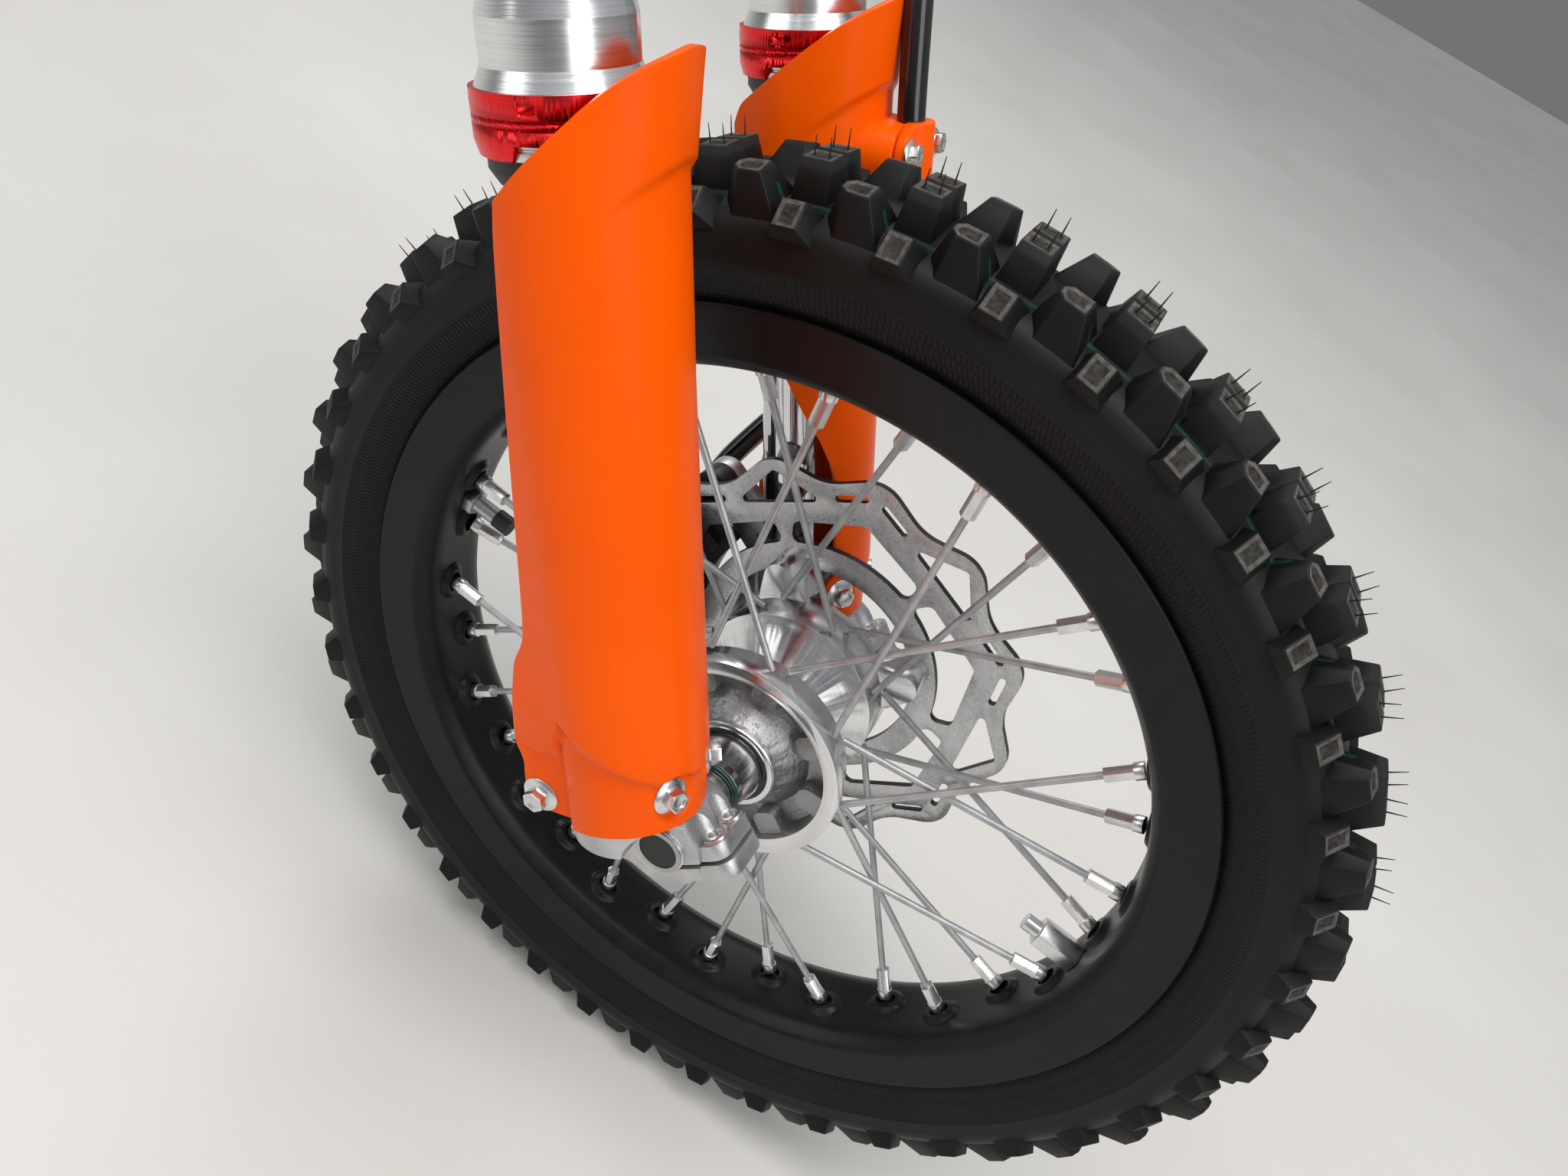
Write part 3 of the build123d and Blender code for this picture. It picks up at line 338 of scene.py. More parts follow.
class Shader:
    """A node material on Object coordinates that is built up step by step."""

    def __init__(self, name: str, roughness: float, metallic: float = 0.0, **sockets: float) -> None:
        """Starts a Principled material with its constant sockets.

        Args:
            name: Name of the material.
            roughness: Its roughness.
            metallic: 1 for bare metal.
            sockets: Other sockets, with underscores for spaces.
        """
        self.material = bpy.data.materials.new(name)
        self.material.use_nodes = True
        self.tree = self.material.node_tree
        self.bsdf = self.tree.nodes["Principled BSDF"]
        self.bsdf.inputs["Roughness"].default_value = roughness
        self.bsdf.inputs["Metallic"].default_value = metallic
        for key, value in sockets.items():
            self.bsdf.inputs[key.replace("_", " ")].default_value = value
        self.position = self.node("ShaderNodeTexCoord").outputs["Object"]

    def node(self, kind: str, **settings) -> bpy.types.Node:
        """Adds a node and sets its properties."""
        node = self.tree.nodes.new(kind)
        for key, value in settings.items():
            setattr(node, key, value)
        return node

    def link(self, source, target) -> None:
        """Links an output, or sets a number, on an input socket."""
        if isinstance(source, bpy.types.NodeSocket):
            self.tree.links.new(source, target)
        else:
            target.default_value = source

    def mapped(self, centre: Sequence = (0, 0, 0), turn: Sequence = (0, 0, 0), scale: Sequence = (1, 1, 1)):
        """Object coordinates moved to a centre, turned (degrees) and then scaled."""
        shift = self.node("ShaderNodeVectorMath", operation="SUBTRACT")
        self.link(self.position, shift.inputs[0])
        shift.inputs[1].default_value = centre
        mapping = self.node("ShaderNodeMapping")
        self.link(shift.outputs[0], mapping.inputs["Vector"])
        mapping.inputs["Rotation"].default_value = [math.radians(a) for a in turn]
        stretch = self.node("ShaderNodeVectorMath", operation="MULTIPLY")
        self.link(mapping.outputs[0], stretch.inputs[0])
        stretch.inputs[1].default_value = scale
        return stretch.outputs[0]

    def noise(self, scale: float, detail: float = 3.0, vector=None, distortion: float = 0.0):
        """A noise value between 0 and 1, its scale per metre."""
        node = self.node("ShaderNodeTexNoise")
        self.link(vector or self.position, node.inputs["Vector"])
        node.inputs["Scale"].default_value = scale
        node.inputs["Detail"].default_value = detail
        node.inputs["Distortion"].default_value = distortion
        return node.outputs["Fac"]

    def maths(self, operation: str, first, second=0.0, third=0.0):
        """A Math node's result."""
        node = self.node("ShaderNodeMath", operation=operation)
        for value, target in zip((first, second, third), node.inputs):
            self.link(value, target)
        return node.outputs[0]

    def times(self, first, second):
        """The product of two values."""
        return self.maths("MULTIPLY", first, second)

    def weighted(self, *terms: tuple):
        """The sum of (value, weight) terms."""
        parts = [self.times(value, weight) for value, weight in terms]
        total = parts[0]
        for part in parts[1:]:
            total = self.maths("ADD", total, part)
        return total

    def ramp(self, value, *stops: tuple):
        """A colour ramp from (position, colour) stops."""
        node = self.node("ShaderNodeValToRGB")
        self.link(value, node.inputs[0])
        elements = node.color_ramp.elements
        while len(elements) < len(stops):
            elements.new(0.5)
        for element, (place, colour) in zip(elements, stops):
            element.position = place
            element.color = colour if len(colour) == 4 else (*colour, 1)
        return node.outputs[0]

    def between(self, value, low: float, high: float):
        """A value from 0..1 brought into a range."""
        node = self.node("ShaderNodeMapRange")
        self.link(value, node.inputs["Value"])
        node.inputs["To Min"].default_value = low
        node.inputs["To Max"].default_value = high
        return node.outputs[0]

    def window(self, value, low: float, high: float, edge: float):
        """1 where a value lies between two bounds, with soft edges, and 0 elsewhere."""
        steps = []
        for start, end, before, after in ((low, low + edge, 0, 1), (high - edge, high, 1, 0)):
            step = self.node("ShaderNodeMapRange", interpolation_type="SMOOTHSTEP")
            self.link(value, step.inputs["Value"])
            step.inputs["From Min"].default_value = start
            step.inputs["From Max"].default_value = end
            step.inputs["To Min"].default_value = before
            step.inputs["To Max"].default_value = after
            steps.append(step.outputs[0])
        return self.times(*steps)

    def polar(self, centre: Sequence, axis: str = "Y", turn: Sequence = (0, 0, 0)) -> tuple:
        """Radius, angle and station about an axis through a point, in metres and radians."""
        split = self.node("ShaderNodeSeparateXYZ")
        self.link(self.mapped(centre, turn), split.inputs[0])
        x, y, z = split.outputs
        first, second, along = (x, z, y) if axis == "Y" else (x, y, z)
        radius = self.maths("SQRT", self.weighted((first, first), (second, second)))
        return radius, self.maths("ARCTAN2", second, first), along

    def combine(self, x, y, z):
        """A vector from three values."""
        node = self.node("ShaderNodeCombineXYZ")
        for value, target in zip((x, y, z), node.inputs):
            self.link(value, target)
        return node.outputs[0]

    def blend(self, factor, first, second):
        """A colour mixed from two."""
        node = self.node("ShaderNodeMix", data_type="RGBA")
        self.link(factor, node.inputs["Factor"])
        for value, place in ((first, 6), (second, 7)):
            if isinstance(value, tuple):
                value = (*value, 1)
            self.link(value, node.inputs[place])
        return node.outputs[2]

    def colour(self, output) -> None:
        """Sets the base colour."""
        self.link(output, self.bsdf.inputs["Base Color"])

    def rough(self, output) -> None:
        """Sets the roughness from a texture."""
        self.link(output, self.bsdf.inputs["Roughness"])

    def bump(self, height, distance: float, strength: float = 1.0) -> None:
        """Adds a bump, its full height in metres, after any that is there."""
        node = self.node("ShaderNodeBump")
        self.link(height, node.inputs["Height"])
        node.inputs["Distance"].default_value = distance
        node.inputs["Strength"].default_value = strength
        normal = self.bsdf.inputs["Normal"]
        if normal.is_linked:
            self.tree.links.new(normal.links[0].from_socket, node.inputs["Normal"])
        self.tree.links.new(node.outputs[0], normal)


@dataclass(frozen=True)
class PlainFinish:
    """A moulded, painted or cast surface with mottling and grain."""

    name: str
    dark: tuple
    light: tuple
    rough: tuple
    metallic: float = 0.0
    mottle: float = 60.0
    grain: float = 1500.0
    grain_height: float = 0.00003
    coat: float = 0.0
    specular: float = 0.5

    def material(self) -> Material:
        """Builds the material."""
        shader = Shader(self.name, self.rough[0], self.metallic, Coat_Weight=self.coat, Coat_Roughness=0.08,
                        Specular_IOR_Level=self.specular)
        patches = shader.noise(self.mottle, 5)
        shader.colour(shader.ramp(patches, (0.3, self.dark), (0.7, self.light)))
        shader.rough(shader.between(patches, *self.rough))
        shader.bump(shader.noise(self.grain, 2), self.grain_height)
        return shader.material


@dataclass(frozen=True)
class TurnedFinish:
    """Metal turned on a lathe: fine rings about an axis, with soft bands of tone."""

    name: str
    dark: tuple
    light: tuple
    rough: tuple
    centre: tuple
    axis: str = "Y"
    turn: tuple = (0, 0, 0)
    pitch: float = 2600.0
    height: float = 0.000012
    # where the casting is left rough: radius from, to, station from, to, in metres
    cast: tuple = ()
    cast_colour: tuple = (0.34, 0.34, 0.345)
    cast_edge: float = 0.0006

    def material(self) -> Material:
        """Builds the material."""
        shader = Shader(self.name, self.rough[0], 1.0)
        radius, angle, along = shader.polar(self.centre, self.axis, self.turn)
        rings = shader.noise(self.pitch, 3, shader.combine(radius, along, shader.times(angle, 0.0004)))
        tone = shader.weighted((rings, 0.55), (shader.noise(30, 3), 0.45))
        colour = shader.ramp(tone, (0.3, self.dark), (0.7, self.light))
        rough = shader.between(tone, *self.rough)
        if self.cast:
            left = shader.times(shader.window(radius, *self.cast[:2], self.cast_edge),
                                shader.window(along, *self.cast[2:], self.cast_edge))
            colour = shader.blend(left, colour, self.cast_colour)
            rough = shader.weighted((rough, 1.0), (left, 0.24))
            shader.bump(shader.times(left, shader.noise(520, 3)), 0.0004)
        shader.colour(colour)
        shader.rough(rough)
        shader.bump(rings, self.height)
        return shader.material


@dataclass(frozen=True)
class GroundFinish:
    """Sheet steel ground flat and scuffed by handling: fine scratches that cross each other."""

    name: str
    dark: tuple
    light: tuple
    rough: tuple
    scratch: tuple = (0.88, 0.88, 0.89)
    # direction in degrees and scale of each set of scratches
    sets: tuple = ((8, 260), (-34, 210), (61, 300), (112, 240))

    def material(self) -> Material:
        """Builds the material."""
        shader = Shader(self.name, self.rough[0], 1.0)
        scratches = 0.0
        for direction, scale in self.sets:
            lines = shader.noise(scale, 4, shader.mapped(AXLE_CENTRE, (0, direction, 0), (0.35, 1, 9)), 0.4)
            scratches = shader.maths("MAXIMUM", scratches, shader.window(lines, 0.5, 0.56, 0.02))
        patches = shader.noise(45, 4)
        plain = shader.ramp(patches, (0.3, self.dark), (0.7, self.light))
        shader.colour(shader.blend(shader.times(scratches, 0.6), plain, self.scratch))
        shader.rough(shader.between(shader.weighted((scratches, 0.5), (patches, 0.5)), *self.rough))
        shader.bump(scratches, 0.00001)
        return shader.material


@dataclass(frozen=True)
class TyreFinish:
    """Tyre rubber with a ribbed band on the sidewall and greyer, rougher knob tops."""

    name: str = "tyre_rubber"
    base: tuple = (0.0045, 0.0047, 0.005)
    light: tuple = (0.012, 0.0125, 0.013)
    dust: tuple = (0.03, 0.03, 0.031)
    stripe: tuple = (0.008, 0.052, 0.046)
    stripe_place: float = 0.0172
    stripe_half: float = 0.0013
    # radii of the crown that carries the stripe, of the knob tops and of the ribbed band
    crown: tuple = (0.222, 0.2315)
    tops: tuple = (0.2345, 0.25)
    band: tuple = (0.1905, 0.2055)
    ribs: float = 620.0

    def material(self) -> Material:
        """Builds the material."""
        shader = Shader(self.name, 0.55, Specular_IOR_Level=0.22)
        radius, angle, along = shader.polar(AXLE_CENTRE)
        dusty = shader.window(radius, *self.tops, 0.002)
        grey = shader.weighted((shader.noise(28, 5), 0.6), (dusty, 0.5))
        rubber = shader.ramp(grey, (0.25, self.base), (0.75, self.light), (1.0, self.dust))
        wander = shader.between(shader.noise(22, 2), -0.0022, 0.0022)
        across = shader.weighted((shader.maths("ABSOLUTE", along), 1.0), (wander, 1.0))
        low, high = self.stripe_place - self.stripe_half, self.stripe_place + self.stripe_half
        worn = shader.between(shader.noise(150, 4), 0.1, 1.0)
        line = shader.times(shader.window(across, low, high, 0.0009), worn)
        line = shader.times(line, shader.window(radius, *self.crown, 0.001))
        shader.colour(shader.blend(line, rubber, self.stripe))
        shader.rough(shader.between(grey, 0.42, 0.72))
        wave = shader.maths("SINE", shader.times(radius, 1400))
        ribs = shader.maths("SINE", shader.weighted((angle, self.ribs), (wave, 1.1)))
        shader.bump(shader.times(ribs, shader.window(radius, *self.band, 0.0008)), 0.00025, 0.8)
        shader.bump(shader.noise(900, 3), 0.00003)
        return shader.material


LEG_TURN = (0, RAKE, 0)
PLAIN_FINISHES = (
    PlainFinish("guard_plastic", (0.93, 0.094, 0.0), (1.0, 0.112, 0.0), (0.28, 0.36), mottle=14, grain=2200,
                grain_height=0.00001, specular=0.1),
    PlainFinish("tyre_worn", (0.045, 0.041, 0.037), (0.12, 0.11, 0.1), (0.75, 0.9), mottle=420, specular=0.2),
    PlainFinish("tyre_scuffed", (0.008, 0.008, 0.008), (0.05, 0.046, 0.042), (0.7, 0.9), mottle=520,
                specular=0.2),
    PlainFinish("ring_green", (0.001, 0.03, 0.022), (0.002, 0.045, 0.034), (0.25, 0.35)),
    PlainFinish("rim_black", (0.0045, 0.0048, 0.0055), (0.0075, 0.008, 0.009), (0.3, 0.4), grain=2600,
                grain_height=0.000015, specular=0.22),
    PlainFinish("cast_aluminium", (0.46, 0.46, 0.47), (0.66, 0.66, 0.67), (0.36, 0.5), 1.0, 90, 1100,
                0.00016),
    PlainFinish("spoke_wire", (0.4, 0.41, 0.42), (0.56, 0.57, 0.58), (0.44, 0.56), 0.8, 140, 2400, 0.00002),
    PlainFinish("nipple_plate", (0.6, 0.6, 0.6), (0.8, 0.8, 0.8), (0.22, 0.34), 1.0, 120, 2400, 0.00002),
    PlainFinish("zinc_plate", (0.6, 0.61, 0.62), (0.82, 0.82, 0.82), (0.2, 0.34), 1.0, 120, 2000, 0.00002),
    PlainFinish("disc_edge", (0.03, 0.03, 0.031), (0.07, 0.07, 0.071), (0.4, 0.55), 0.6),
    PlainFinish("machined_steel", (0.36, 0.36, 0.37), (0.5, 0.5, 0.51), (0.26, 0.4), 1.0),
    PlainFinish("hard_chrome", (0.6, 0.61, 0.63), (0.7, 0.71, 0.73), (0.05, 0.1), 1.0, 40, 1500, 0.000002),
    PlainFinish("black_anodised", (0.014, 0.014, 0.015), (0.028, 0.028, 0.03), (0.36, 0.5), 0.3, 70, 1800),
    PlainFinish("seal_rubber", (0.008, 0.008, 0.008), (0.016, 0.016, 0.016), (0.45, 0.6)),
    PlainFinish("hose_sleeve", (0.006, 0.006, 0.007), (0.012, 0.012, 0.013), (0.12, 0.2), coat=0.4,
                grain_height=0.000004),
    PlainFinish("pad_lining", (0.05, 0.045, 0.04), (0.12, 0.11, 0.1), (0.7, 0.9), 0.1, 300, 1200, 0.0002),
)
BRIGHT = ((0.62, 0.62, 0.63), (0.86, 0.86, 0.87))
# the finish of each CAD node, by the start of its name
NODE_FINISHES = (
    ("guard", "guard_plastic"), ("tyre", "tyre_rubber"), ("rim_lock", "zinc_plate"), ("rim", "rim_black"),
    ("hub_seals", "seal_rubber"), ("hub", "hub_turned"), ("spokes", "spoke_wire"),
    ("nipples", "nipple_plate"), ("brake_disc", "disc_ground"), ("brake_pads", "pad_lining"),
    ("brake_hose", "hose_sleeve"),
    ("outer_tube", "tube_turned"), ("collar", "collar_red"), ("fork_cap", "collar_red"),
    ("wiper", "seal_rubber"), ("inner_tube", "hard_chrome"), ("axle_lug", "cast_aluminium"),
    ("axle_plugs", "seal_rubber"), ("axle", "machined_steel"), ("spacer", "spacer_turned"),
    ("lower_clamp", "black_anodised"), ("upper_clamp", "black_anodised"), ("caliper", "black_anodised"),
    ("hose_clamp", "guard_plastic"), ("hose_guides", "black_anodised"), ("hose_ends", "zinc_plate"),
    ("valve_cap", "seal_rubber"), ("valve", "machined_steel"), ("", "machined_steel"),
)
TURNED_ON_EACH_LEG = ("tube_turned", "collar_red")


class Finishes:
    """All the materials of the part, built once and found by name."""

    def __init__(self) -> None:
        """Builds every material."""
        axle = tuple(AXLE_CENTRE)
        finishes = [
            *PLAIN_FINISHES,
            TyreFinish(),
            GroundFinish("disc_ground", (0.42, 0.42, 0.43), (0.62, 0.62, 0.63), (0.2, 0.42)),
            TurnedFinish("hub_turned", *BRIGHT, (0.14, 0.3), axle, cast=(0.0198, 0.0418, -0.0325, -0.0150)),
            TurnedFinish("spacer_turned", *BRIGHT, (0.1, 0.2), axle),
        ]
        for side in Side:
            leg = (tuple(leg_place(side).translation), "Z", LEG_TURN)
            finishes += [
                TurnedFinish("tube_turned_" + side.word, (0.6, 0.61, 0.62), (0.84, 0.85, 0.86), (0.16, 0.34),
                             *leg, 1500.0, 0.00003),
                TurnedFinish("collar_red_" + side.word, (0.72, 0.018, 0.024), (0.86, 0.04, 0.046),
                             (0.24, 0.36), *leg),
            ]
        self.built = {finish.name: finish.material() for finish in finishes}

    def __getitem__(self, name: str) -> Material:
        """The material of a name."""
        return self.built[name]

    def for_node(self, node: str) -> Material:
        """The material of a CAD node."""
        name = next(finish for start, finish in NODE_FINISHES if node.startswith(start))
        if name in TURNED_ON_EACH_LEG:
            name += "_left" if node.endswith("left") else "_right"
        return self.built[name]


# Carried-over nodes


# width in millimetres of the bevel on the copy of each node, 0 for none
SOFTENED = {
    "hub": 0.4, "axle_lug_right": 0.9, "axle_lug_left": 0.9, "caliper": 1.0, "upper_clamp": 0.8,
    "brake_disc": 0.25, "rim_lock": 0.3, "valve": 0.3, "stem_nut": 0.5, "fork_cap_right": 0.5,
    "fork_cap_left": 0.5, "hose_ends": 0.3, "hose_guides": 0.4, "nipples": 0.25, "collar_right": 0.0,
    "collar_left": 0.0,
}
# degrees that the copies of the collars are turned, to bring their notches where they are seen
COLLAR_TURNS = {"collar_right": -41.8, "collar_left": 29.4}


@dataclass
class CadNodes:
    """The CAD nodes that stay, and those that are copied to get softened edges."""

    finishes: Finishes

    def build(self) -> None:
        """Gives each node its material, and its softened copy where it has one."""
        for name, node in sorted(frame["nodes"].items()):
            dress(node, self.finishes.for_node(name))
            if name in SOFTENED:
                self.soften_copy(name, SOFTENED[name])

    def soften_copy(self, name: str, width: float) -> None:
        """Replaces a node by a copy with bevelled edges.

        Args:
            name: The CAD node.
            width: Width of the bevel in millimetres, or 0 for none.
        """
        node = frame["nodes"][name]
        material = self.finishes.for_node(name)
        copy = linked(name + "_finished", node.data.copy())
        if name in COLLAR_TURNS:
            leg = leg_place(Side.LEFT if name.endswith("left") else Side.RIGHT)
            copy.data.transform(leg @ turn(COLLAR_TURNS[name], "Z") @ leg.inverted())
        copy.data.transform(Matrix.Scale(1000, 4))
        with Editing(copy) as edit:
            edit.select_all()
            bpy.ops.mesh.remove_doubles(threshold=0.01)
            if width:
                bpy.ops.mesh.dissolve_limited(angle_limit=math.radians(0.5))
        if width:
            soften(copy, width, 2, 28)
        else:
            smooth(copy, 30)
        copy.data.transform(TO_METRES)
        slots = {part["node"]: part["material_slot"] for part in frame["record"]["subparts"]}
        finish_piece(copy, material, Body(node["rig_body"]), slots[name], name)
        if name == "brake_disc":
            dress(copy, material, self.finishes["disc_edge"])
            for face in copy.data.polygons:
                face.material_index = int(abs(face.normal.y) < 0.5)


# Tyre


@dataclass(frozen=True)
class KnobRow:
    """One row of tread knobs on each side, with its top at the radius, in millimetres and degrees."""

    name: str
    # length round the tyre and width across
    top: tuple
    height: float
    # slopes of the faces round the tyre, towards its middle and away from it
    drafts: tuple
    # cut of the two corners towards the middle
    notch: float
    # shift round the tyre as a share of a pitch
    phase: float
    across: float
    radius: float
    lean: float
    hairy: bool = False


@dataclass
class Tyre:
    """The knobbed tyre about the wheel's centre, in millimetres."""

    # rubber, worn knob top and scuffed middle of the top
    materials: tuple
    knob_edge: float = 0.5
    border: float = 1.0
    groove: float = 0.35
    middle_rise: float = 0.3
    hair_length: float = 6.5
    hair_radii: tuple = (0.34, 0.14)
    hair_sunk: float = 0.3
    hair_bend: tuple = (0.8, 0.3, 0)
    hair_spots: tuple = ((0.8, -2.6, 0), (0.8, 2.6, 0))
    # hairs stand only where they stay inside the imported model's box, degrees above forward
    hair_from: float = -6.0
    hair_to: float = 132.0
    pitches: int = 40
    phase: float = 2.7
    steps: int = 240
    rows: tuple = (
        KnobRow("knob_centre", (10.4, 10.8), 13.5, (19, 3, 8), 0.0, 0.0, 6.7, 239.0, 2.0, True),
        KnobRow("knob_middle", (8.6, 10.6), 14.5, (23, 14, 26), 2.6, 0.5, 20.2, 236.0, 13.0),
        KnobRow("knob_edge", (10.6, 8.6), 12.3, (7, 12, 34), 0.0, 0.0, 29.6, 225.8, 42.0),
    )
    # outer half of the section from the bead over the sidewall to the crown, then the inner half
    outer: tuple = (
        (178.8, 12.5), (178.8, 20.3), (184, 20.4), (190.8, 20.6), (191.6, 21.4), (194.5, 23.4), (198, 25.8),
        (202, 28.0), (205.6, 29.3), (206.3, 29.9), (207.0, 29.5), (211, 30.3), (215, 30.2), (219, 28.8),
        (222.5, 25.6), (224.8, 21.2), (226.4, 15), (227.2, 8), (227.5, 0),
    )
    inner: tuple = ((223.5, 0), (222.5, 10), (220, 18), (213, 25), (205, 24.5), (196, 19.5), (188, 15))

    def knob(self, row: KnobRow) -> Piece:
        """A row's knob with its worn top at z = 0 and drafted sides: X round the tyre, Y across."""
        length, width = row.top
        along, inner, outer = [row.height * math.tan(math.radians(draft)) for draft in row.drafts]
        block = primitive(bpy.ops.mesh.primitive_cube_add, row.name, size=1, location=(0, 0, 0))
        with Editing(block) as edit:
            edit.select_all()
            bpy.ops.transform.resize(value=(length, width, row.height), center_override=(0, 0, 0))
            bpy.ops.transform.translate(value=(0, 0, -row.height / 2))
            if row.notch:
                edit.edges(lambda a, b: abs(a.z - b.z) > 1 and a.y < 0 and b.y < 0)
                bpy.ops.mesh.bevel(offset=row.notch, segments=1, affect="EDGES")
            edit.faces(lambda centre, normal: normal.z < -0.9)
            scale = (1 + 2 * along / length, 1 + (inner + outer) / width, 1)
            bpy.ops.transform.resize(value=scale, center_override=(0, 0, -row.height))
            bpy.ops.transform.translate(value=(0, (outer - inner) / 2, 0))
        soften(block, self.knob_edge, 2, 25)
        dress(block, *self.materials)
        with Editing(block) as edit:
            edit.faces(lambda centre, normal: normal.z > 0.99 and centre.z > -0.01)
            block.active_material_index = 1
            bpy.ops.object.material_slot_assign()
            bpy.ops.mesh.inset(thickness=self.border, depth=0)
            bpy.ops.mesh.inset(thickness=self.groove, depth=-self.groove)
            block.active_material_index = 2
            bpy.ops.object.material_slot_assign()
            bpy.ops.mesh.poke(offset=self.middle_rise)
        return block

    def hair(self) -> Piece:
        """A moulding hair that stands on a knob's top, bent a little."""
        foot, tip = self.hair_radii
        hair = primitive(bpy.ops.mesh.primitive_cone_add, "hair", vertices=6, radius1=foot, radius2=tip,
                         depth=self.hair_length, location=(0, 0, self.hair_length / 2 - self.hair_sunk))
        with Editing(hair) as edit:
            edit.faces(lambda centre, normal: normal.z > 0.9)
            bpy.ops.transform.translate(value=self.hair_bend)
        smooth(hair, 60)
        dress(hair, *self.materials)
        return hair

    def build(self) -> None:
        """Builds the tyre and puts it on the wheel."""
        carcass = spun("tyre_finished", lathe_section(self.outer, self.inner), self.steps)
        smooth(carcass, 50)
        dress(carcass, *self.materials)
        pieces = [carcass]
        hair = self.hair()
        upright = {Side.LEFT: turn(90, "Y") @ turn(90, "Z"), Side.RIGHT: turn(90, "Y") @ turn(270, "Z")}
        for row in self.rows:
            pattern = self.knob(row)
            for side in Side:
                seat = shift(row.radius, side.value * row.across, 0) @ turn(side.value * row.lean, "Z")
                for i in range(self.pitches):
                    turned = self.phase + (i + row.phase) * 360 / self.pitches
                    place = turn(-turned, "Y") @ seat @ upright[side]
                    pieces.append(copy_to(pattern, place))
                    if row.hairy and self.hair_from < turned < self.hair_to:
                        pieces += [copy_to(hair, place @ shift(*spot)) for spot in self.hair_spots]
            discard(pattern)
        discard(hair)
        tyre = put(join(pieces, "tyre_finished"), WHEEL_PLACE)
        finish_piece(tyre, None, Body.WHEEL, "tyre_rubber", "tyre")


# Rim


@dataclass
class Rim:
    """The black rim with a boss at each spoke hole, in millimetres."""

    material: Material
    spokes: int = 32
    phase: float = 0.45
    bed: float = 165.0
    split: float = 3.5
    steps: int = 256
    outer: tuple = (
        (190.5, 20.9), (190.5, 22.9), (189.9, 23.5), (188.6, 23.5), (188.0, 23.3), (172.0, 23.3),
        (170.6, 22.9), (169.4, 21.8), (166.6, 18.2), (165.6, 16.2), (165.0, 13.4), (164.8, 9.4), (165.0, 0),
    )
    inner: tuple = ((168, 0), (168, 9), (169.5, 11.5), (176.2, 13), (177.6, 14), (178.2, 15.5), (178.2, 20.7))
    boss: tuple = ((9.6, -0.4), (7.6, 0.35), (6.6, 1.1), (5.8, 2.1), (5.1, 2.45), (3.9, 2.45), (3.7, 1.0))
    boss_stretch: float = 1.3

    def build(self) -> None:
        """Builds the rim and puts it on the wheel."""
        body = spun("rim_finished", lathe_section(self.outer, self.inner), self.steps)
        smooth(body, 40)
        boss = spun("boss", self.boss, 28, False, ALONG_Z)
        boss.data.transform(Matrix.Scale(self.boss_stretch, 4, (1, 0, 0)))
        smooth(boss, 60)
        pieces = [body]
        for i in range(self.spokes):
            side = 1 if i % 2 == 0 else -1
            lift = shift(self.bed, side * self.split, 0) @ turn(-90, "Y")
            pieces.append(copy_to(boss, turn(-(self.phase + i * 360 / self.spokes), "Y") @ lift))
        discard(boss)
        rim = put(join(pieces, "rim_finished"), WHEEL_PLACE)
        finish_piece(rim, self.material, Body.WHEEL, "rim_black", "rim")


# Guards


def eased(value: float) -> float:
    """A smooth step from 0 to 1, flat outside."""
    value = min(1.0, max(0.0, value))
    return value * value * (3 - 2 * value)


def looked_up(table: Sequence, key: float) -> float:
    """Linear interpolation in a table of (key, value) rows, held at both ends."""
    if key <= table[0][0]:
        return table[0][1]
    for (low, start), (high, end) in zip(table, table[1:]):
        if key <= high:
            return start + (key - low) / (high - low) * (end - start)
    return table[-1][1]


class Zone(Enum):
    """The three stretches of a guard's section."""

    REAR = "flat behind the ridge, by the share of its reach"
    ROUND = "round front, by its angle"
    WHEEL = "flat on the wheel's side, by the share of its reach"


